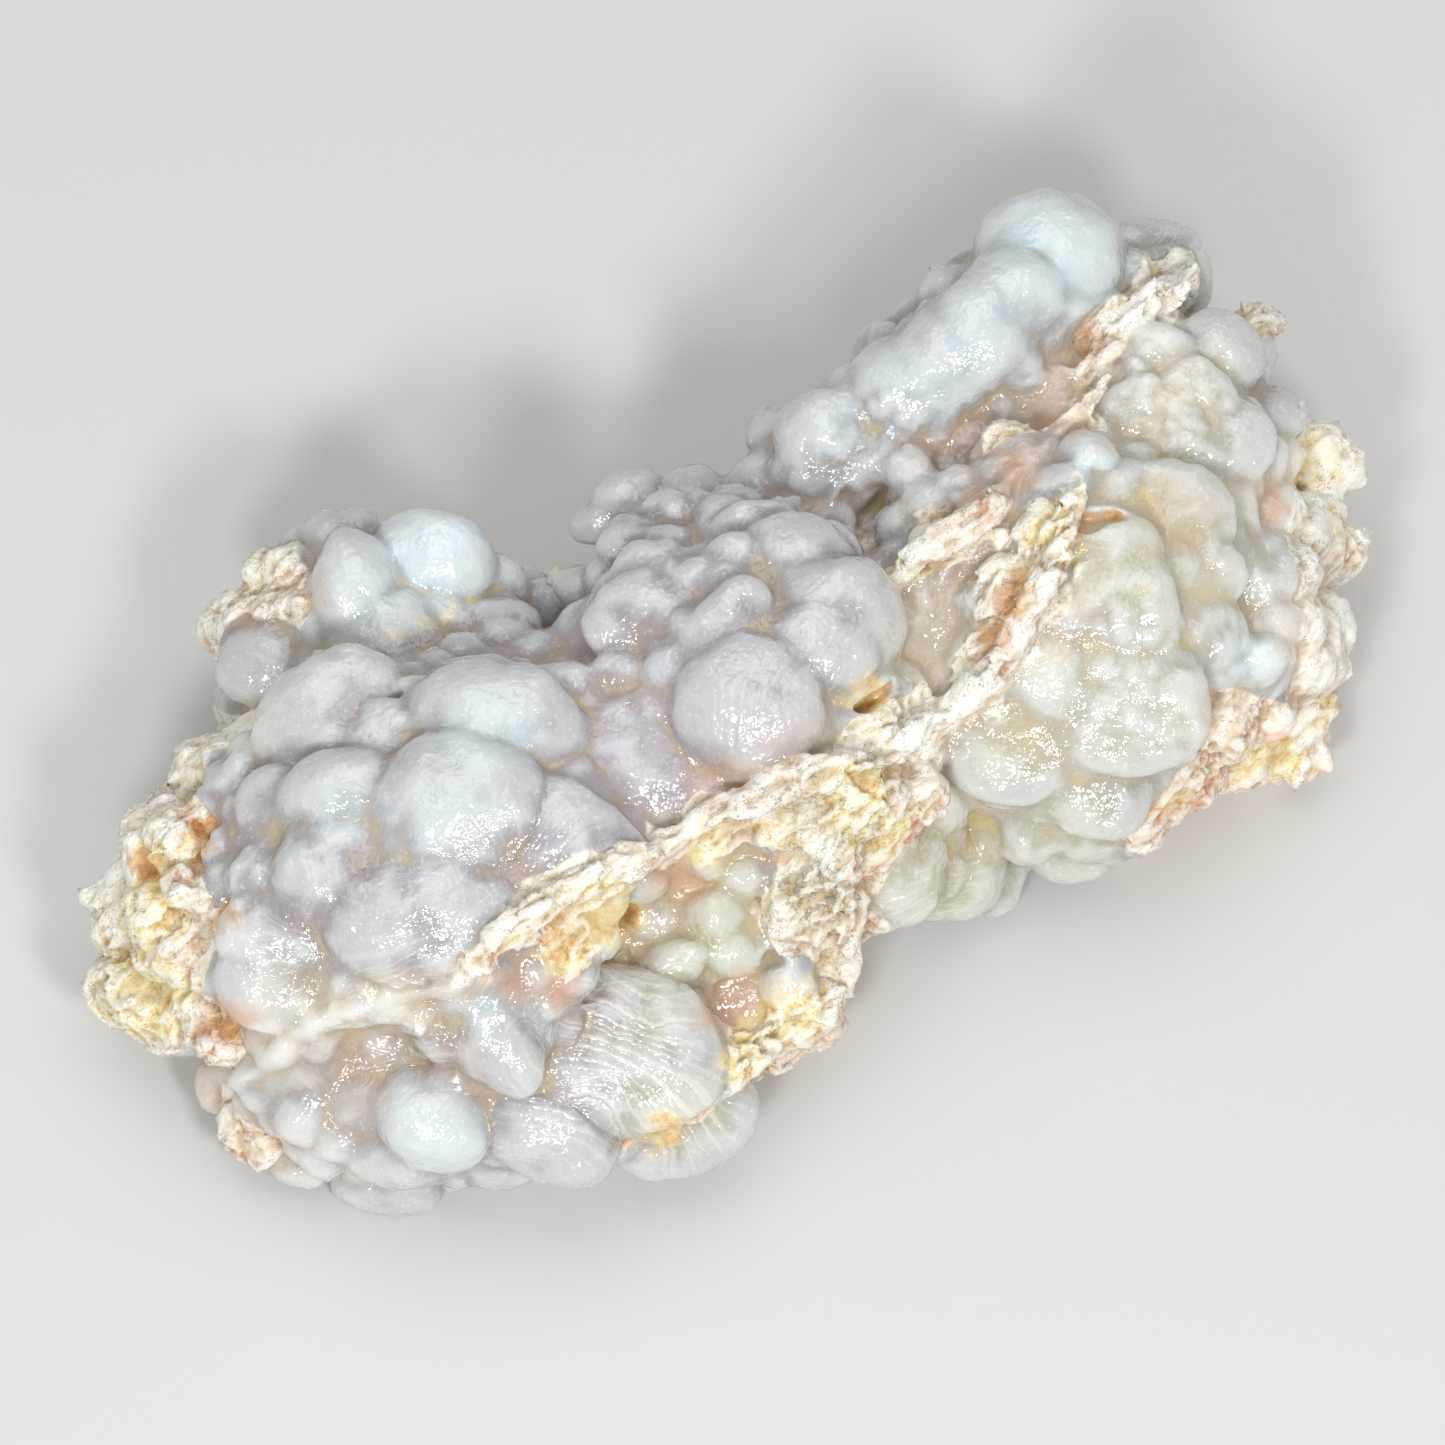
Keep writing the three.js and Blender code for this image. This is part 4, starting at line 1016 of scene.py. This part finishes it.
def outer_skin(stone):
    """Drops the loose islands and the skins of closed bubbles inside the stone."""
    bm = bmesh.new()
    bm.from_mesh(stone.data)
    left = set(bm.verts)
    islands = []
    while left:
        island = {left.pop()}
        edge = list(island)
        while edge:
            near = {e.other_vert(v) for v in edge for e in v.link_edges} - island
            island |= near
            edge = list(near)
        left -= island
        islands.append(island)
    keep = max(islands, key=len)
    bmesh.ops.delete(bm, geom=[v for v in bm.verts if v not in keep], context="VERTS")
    bm.to_mesh(stone.data)
    bm.free()


def lay(mesh, name, values):
    layer = mesh.attributes.new(name, "FLOAT", "POINT")
    layer.data.foreach_set("value", values.astype(np.float32))


def mark_colours(stone, shells):
    """Writes the masks that the finish reads: where the matrix, the hollows and the tints are, and where painted shade
    and painted light go.
    """
    mesh = stone.data
    points = read(mesh, "co", 3)
    normals = np.empty(len(points) * 3, np.float32)
    mesh.vertex_normals.foreach_get("vector", normals)
    normals = normals.reshape(-1, 3).astype(float)
    edges = mesh_edges(mesh)
    lay(mesh, "broken", matrix_share(points, normals, shells))
    fine = ((smoothed(points, edges, 8) - points) * normals).sum(1)
    broad = ((smoothed(points, edges, 110) - points) * normals).sum(1)
    # Creases where lumps meet: some carry ochre stain, and all are given painted shade.
    lay(mesh, "crease", rise(fine, 0.02, 0.15))
    # Proud tops and rims, which are painted lighter: painted light.
    lay(mesh, "proud", rise(-fine, 0.0, 0.14))
    # Broad hollows, painted pinker and darker: painted shade.
    lay(mesh, "sunken", rise(broad, 0.05, 0.85))
    facing = lengthen(smoothed(normals, edges, 14))
    # Steep sides turned down and to the right: rosy, partly the pink of the broken faces and partly painted shade.
    steep = rise(0.86 - facing @ np.array(towards_eye), 0, 0.3)
    lay(mesh, "wall", steep * rise(0.5 * facing @ np.array(across) - facing @ np.array(up), -0.1, 0.35))
    lumps = shells["opal"] + shells["buds"]
    owner = nearest_shells(points, lumps)[1]
    lay(mesh, "rings", growth_rings(points, owner, lumps))
    view = in_view(points)
    drift = np.column_stack([noise_at(points, 2.1), noise_at(points + 53, 2.1)])
    drift += 0.5 * np.column_stack([noise_at(points, 0.8), noise_at(points + 53, 0.8)])
    display = rise(facing @ np.array(towards_eye), -0.35, 0.1)
    tints = {"ochre": OCHRE, "peach": PEACH, "lilac": LILAC, "frost": FROST, "honey": HONEY}
    tints |= {"grit": GRIT, "rust": RUST_AND_SHADE, "cream": CREAM, "glassy": GLASSY}
    for name, places in tints.items():
        lay(mesh, name, display * patch(view + 1.1 * drift, places))
    lay(mesh, "banded", display * patch(view, BANDED))


def set_in_row_frame(stone):
    mesh = stone.data
    points = read(mesh, "co", 3)
    turn = np.array(TO_ROW)
    points = points @ turn[:3, :3].T + turn[:3, 3]
    mesh.vertices.foreach_set("co", points.astype(np.float32).ravel())
    mesh.update()
    mesh.polygons.foreach_set("use_smooth", [True] * len(mesh.polygons))


class Tie:
    """A socket of a finish that can be used in sums."""

    def __init__(self, finish, socket):
        self.finish = finish
        self.socket = socket

    def sum_with(self, operation, first, second):
        return self.finish.put("ShaderNodeMath", {"operation": operation}, {0: first, 1: second})

    def __add__(self, other):
        return self.sum_with("ADD", self, other)

    def __radd__(self, other):
        return self.sum_with("ADD", other, self)

    def __sub__(self, other):
        return self.sum_with("SUBTRACT", self, other)

    def __rsub__(self, other):
        return self.sum_with("SUBTRACT", other, self)

    def __mul__(self, other):
        return self.sum_with("MULTIPLY", self, other)

    def __rmul__(self, other):
        return self.sum_with("MULTIPLY", other, self)

    def __abs__(self):
        return self.sum_with("ABSOLUTE", self, 0.0)


class Finish:
    """A material and the nodes that make it."""

    def __init__(self, name):
        self.material = bpy.data.materials.new(name)
        self.material.use_nodes = True
        self.tree = self.material.node_tree
        self.tree.nodes.clear()

    def put(self, kind, settings, values, out=0):
        """Adds a node: its settings first, then the values or links of its sockets."""
        node = self.tree.nodes.new(kind)
        for key, value in settings.items():
            setattr(node, key, value)
        for key, value in values.items():
            if isinstance(value, Tie):
                self.tree.links.new(value.socket, node.inputs[key])
            else:
                node.inputs[key].default_value = value
        return Tie(self, node.outputs[out]) if len(node.outputs) else None

    def mask(self, name):
        return self.put("ShaderNodeAttribute", {"attribute_name": name}, {}, "Fac")

    def step(self, value, low, high):
        """0 below low, 1 above high, smooth between."""
        settings = {"interpolation_type": "SMOOTHSTEP"}
        return self.put("ShaderNodeMapRange", settings, {"Value": value, "From Min": low, "From Max": high})

    def noise(self, place, size, detail=2.0, rough=0.5):
        values = {"Vector": place, "Scale": 1 / size, "Detail": detail, "Roughness": rough}
        return self.put("ShaderNodeTexNoise", {}, values)

    def blend(self, share, under, over, how="MIX"):
        """A colour laid over another by a share from 0 to 1."""
        settings = {"data_type": "RGBA", "blend_type": how, "clamp_factor": True}
        return self.put("ShaderNodeMix", settings, {0: share, 6: under, 7: over}, 2)


def paint(red, green, blue):
    """A colour as the eye reads it, in 0 to 255, turned into the light it gives back."""
    shares = [level / 255 for level in (red, green, blue)]
    linear = [share / 12.92 if share <= 0.04045 else ((share + 0.055) / 1.055) ** 2.4 for share in shares]
    return (*linear, 1.0)


def opal_and_matrix():
    """Milky opal with ochre seams, pink painted shade in its recesses and painted light on its proud tops, and the
    chalky matrix that it grew on.
    """
    f = Finish("opal_and_matrix")
    metres = f.put("ShaderNodeTexCoord", {}, {}, "Object")
    place = f.put("ShaderNodeVectorMath", {"operation": "SCALE"}, {0: metres, "Scale": 1 / MM})
    masks = "broken crease proud sunken wall rings rust ochre peach lilac frost honey cream glassy grit banded"
    m = {name: f.mask(name) for name in masks.split()}
    along = {"Vector": place, "Rotation": GRAIN_TURN, "Scale": (2.0, 1.0, 1.0)}
    grain_place = f.put("ShaderNodeMapping", {"vector_type": "TEXTURE"}, along)
    cloud = f.noise(place, 5.0, 3.0, 0.6)
    veil = f.noise(place, 1.7, 3.0, 0.6)
    crumb = f.noise(place, 0.8, 4.0, 0.65)
    flecks = f.noise(place, 0.32, 3.0, 0.6)
    stain = f.noise(place, 3.1, 4.0, 0.7)
    glint = f.noise(place, 0.42, 1.0, 0.5)
    ripple = f.noise(place, 1.1, 1.0, 0.4)
    lamina = f.noise(grain_place, 0.8, 3.0, 0.6)
    growth = (m["rings"] + 1.6 * cloud) * 2.6
    bands = f.put("ShaderNodeTexNoise", {"noise_dimensions": "1D"}, {"W": growth, "Scale": 1.0, "Detail": 2.0})

    milk = f.blend(f.step(cloud, 0.35, 0.65), paint(166, 159, 159), paint(184, 185, 183))
    milk = f.blend(m["lilac"] * 0.7, milk, paint(174, 168, 183))
    milk = f.blend(m["frost"] * 0.9, milk, paint(212, 233, 239))
    milk = f.blend(m["honey"] * 0.85, milk, paint(211, 206, 182))
    milk = f.blend(m["glassy"] * 0.75, milk, paint(189, 187, 156))
    milk = f.blend(m["cream"] * 0.85, milk, paint(236, 229, 212))
    milk = f.blend(f.step(bands, 0.5, 0.62) * m["banded"] * 0.55, milk, paint(240, 236, 214))
    # Painted light on the proud tops of the lumps.
    milk = f.blend(m["proud"] * 0.45, milk, paint(230, 235, 236))
    # Painted glints: tiny white flecks over the opal.
    milk = f.blend(f.step(flecks, 0.58, 0.7) * 0.4, milk, paint(242, 245, 244))
    # Pinkish painted shade in the broad hollows of the opal.
    milk = f.blend(m["sunken"] * (0.1 + 0.5 * veil), milk, paint(206, 184, 174))
    seam_tint_and_shade = f.blend(m["honey"], paint(176, 157, 138), paint(212, 196, 156))
    # Painted shade in the creases of the opal, in a seam colour that is partly their own tint.
    milk = f.blend(m["crease"] * (0.1 + 0.7 * veil), milk, seam_tint_and_shade)
    milk = f.blend(f.step(m["crease"] + 1.2 * m["ochre"] + stain, 1.3, 1.9) * 0.6, milk, paint(224, 206, 144))
    milk = f.blend(m["peach"] * 0.8, milk, paint(208, 167, 141))
    gold = f.blend(f.step(crumb, 0.35, 0.65), paint(236, 203, 124), paint(255, 249, 203))
    milk = f.blend(f.step(m["ochre"] + 1.1 * stain - 0.55, 0.3, 0.85) * 0.6, milk, gold)

    ledge = abs(lamina - 0.5)
    chalk = f.blend(f.step(veil, 0.35, 0.62), paint(237, 227, 197), paint(254, 251, 238))
    chalk = f.blend(f.step(cloud, 0.5, 0.7) * 0.2, chalk, paint(234, 214, 196))
    chalk = f.blend(f.step(stain, 0.48, 0.64) * (0.7 - 0.6 * m["cream"]), chalk, paint(198, 170, 120))
    chalk = f.blend(m["cream"] * 0.85, chalk, paint(254, 252, 242))
    rosy = f.blend(f.step(crumb, 0.4, 0.6), paint(202, 140, 100), paint(232, 190, 156))
    chalk = f.blend(m["peach"] * 0.9, chalk, rosy)
    # Rosy steep sides: the pink broken face, with painted shade.
    chalk = f.blend(m["wall"] * f.step(stain, 0.3, 0.56) * (0.85 - 0.8 * m["cream"]), chalk, rosy)
    chalk = f.blend(f.step(m["ochre"] + 1.1 * stain - 0.5, 0.3, 0.8), chalk, gold)
    chalk = f.blend(m["grit"] * 0.5, chalk, paint(184, 173, 146))
    # Painted shade in the creases of the matrix.
    chalk = f.blend(m["crease"] * (0.1 + 0.6 * flecks), chalk, paint(170, 138, 94))
    # Dark brown painted shade in the low pits of the crust's bumps.
    pit_shade = (1 - f.step(crumb, 0.33, 0.43)) * (0.55 - 0.45 * m["cream"])
    chalk = f.blend(pit_shade, chalk, paint(142, 114, 76))
    # Painted light on the proud rims of the matrix.
    chalk = f.blend(m["proud"] * 0.6, chalk, paint(255, 254, 248))
    # Dark lines painted along the grooves between the ledges: painted shade in the cracks.
    crack_shade = (1 - f.step(ledge, 0.003, 0.016)) * f.step(veil, 0.4, 0.56)
    chalk = f.blend(crack_shade * 0.6, chalk, paint(112, 100, 82))
    chalk = f.blend(f.step(flecks + 0.06 * m["grit"], 0.74, 0.8), chalk, paint(104, 96, 84))
    soot = f.step(crumb + 0.18 * m["grit"], 0.67, 0.74) * m["grit"]
    chalk = f.blend(soot * 0.6, chalk, paint(122, 113, 100))

    # Orange-brown in the hollows: their own stain, with painted shade where the skin is sunken.
    gap = f.blend(f.step(crumb, 0.35, 0.65), paint(196, 138, 80), paint(230, 184, 120))
    in_gap = f.step(m["rust"] + 0.5 * m["sunken"] + 0.6 * veil - 0.6, 0.15, 0.85)
    milk = f.blend(in_gap * 0.7, milk, gap)
    chalk = f.blend(in_gap * 0.8, chalk, gap)

    clusters = (0.35 + 0.65 * f.step(veil, 0.38, 0.6)) * glint
    skin_height = (0.02 + 0.13 * m["banded"]) * bands + 0.115 * clusters + 0.12 * ripple
    skin = f.put("ShaderNodeBump", {}, {"Strength": 1.0, "Distance": MM, "Height": skin_height})
    crust_height = (1.0 - 0.6 * m["cream"]) * (0.3 * ledge + 0.22 * crumb + 0.12 * flecks)
    crust = f.put("ShaderNodeBump", {}, {"Strength": 1.0, "Distance": MM, "Height": crust_height})

    opal_values = {
        "Base Color": milk,
        "Roughness": 0.05 + 0.1 * veil,
        "IOR": 1.46,
        "Specular IOR Level": 1.0,
        "Subsurface Weight": 0.7,
        "Subsurface Radius": (1.0, 0.8, 0.66),
        "Subsurface Scale": 0.0018,
        "Normal": skin,
    }
    opal = f.put("ShaderNodeBsdfPrincipled", {}, opal_values)
    matrix_values = {"Base Color": chalk, "Roughness": 0.28 + 0.3 * veil, "Normal": crust}
    matrix_values |= {"Subsurface Weight": 0.2, "Subsurface Radius": (1.0, 0.7, 0.5), "Subsurface Scale": 0.001}
    matrix = f.put("ShaderNodeBsdfPrincipled", {}, matrix_values)
    both = f.put("ShaderNodeMixShader", {}, {0: f.step(m["broken"], 0.3, 0.7), 1: opal, 2: matrix})
    f.put("ShaderNodeOutputMaterial", {}, {"Surface": both})
    return f.material


def pale_floor():
    bm = bmesh.new()
    bmesh.ops.create_grid(bm, x_segments=1, y_segments=1, size=1.2)
    mesh = bpy.data.meshes.new("pale_floor")
    bm.to_mesh(mesh)
    bm.free()
    floor = bpy.data.objects.new("pale_floor", mesh)
    bpy.context.scene.collection.objects.link(floor)
    f = Finish("pale_floor")
    values = {"Base Color": paint(214, 214, 212), "Roughness": 0.8}
    surface = f.put("ShaderNodeBsdfPrincipled", {}, values)
    f.put("ShaderNodeOutputMaterial", {}, {"Surface": surface})
    mesh.materials.append(f.material)


def softbox(name, azimuth, elevation, distance, size, watts):
    """A square light that looks at the stone's middle."""
    light = bpy.data.lights.new(name, "AREA")
    light.shape = "SQUARE"
    light.size = size
    light.energy = watts
    lamp = bpy.data.objects.new(name, light)
    a, e = radians(azimuth), radians(elevation)
    lamp.location = Vector((sin(a) * cos(e), -cos(a) * cos(e), sin(e))) * distance + Vector((0, 0, 0.012))
    lamp.rotation_euler = (Vector((0, 0, 0.012)) - lamp.location).to_track_quat("-Z", "Y").to_euler()
    bpy.context.scene.collection.objects.link(lamp)


def studio():
    """Two soft lights from the photographer's side, and a wide one overhead."""
    softbox("left_softbox", -38, 40, 0.55, 0.09, 1.05)
    softbox("right_softbox", 4, 46, 0.55, 0.09, 1.0)
    softbox("overhead", 160, 74, 0.8, 0.7, 2.0)
    world = bpy.data.worlds.new("soft_surround")
    world.use_nodes = True
    world.node_tree.nodes["Background"].inputs["Color"].default_value = (1.0, 1.0, 1.0, 1.0)
    world.node_tree.nodes["Background"].inputs["Strength"].default_value = 0.42
    bpy.context.scene.world = world
    bpy.context.scene.view_settings.view_transform = "Standard"


def photographers_camera():
    """The eye of the photograph: 65 degrees up, square to the way the stone is set out."""
    picture = 1445
    pixels_per_mm = 15
    far = 600
    aim = point_on((picture / 2 - 735) / pixels_per_mm, (700 - picture / 2) / pixels_per_mm, 24)
    camera = bpy.data.cameras.new("photographer")
    camera.sensor_fit = "HORIZONTAL"
    camera.angle = 2 * atan2(picture / pixels_per_mm / 2, far)
    eye = bpy.data.objects.new("photographer", camera)
    eye.matrix_world = Matrix.Rotation(LENGTH_TURN, 4, "Z") @ VIEW
    eye.location = TO_ROW @ (aim + towards_eye * far)
    bpy.context.scene.collection.objects.link(eye)
    bpy.context.scene.camera = eye


stone, shells = grow_stone()
outer_skin(stone)
roughen(stone, shells)
thin_out(stone, MOST_TRIANGLES)
mark_colours(stone, shells)
set_in_row_frame(stone)
stone.data.materials.clear()
stone.data.materials.append(opal_and_matrix())
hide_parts("opal_stone")
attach(stone, "root")
pale_floor()
studio()
photographers_camera()
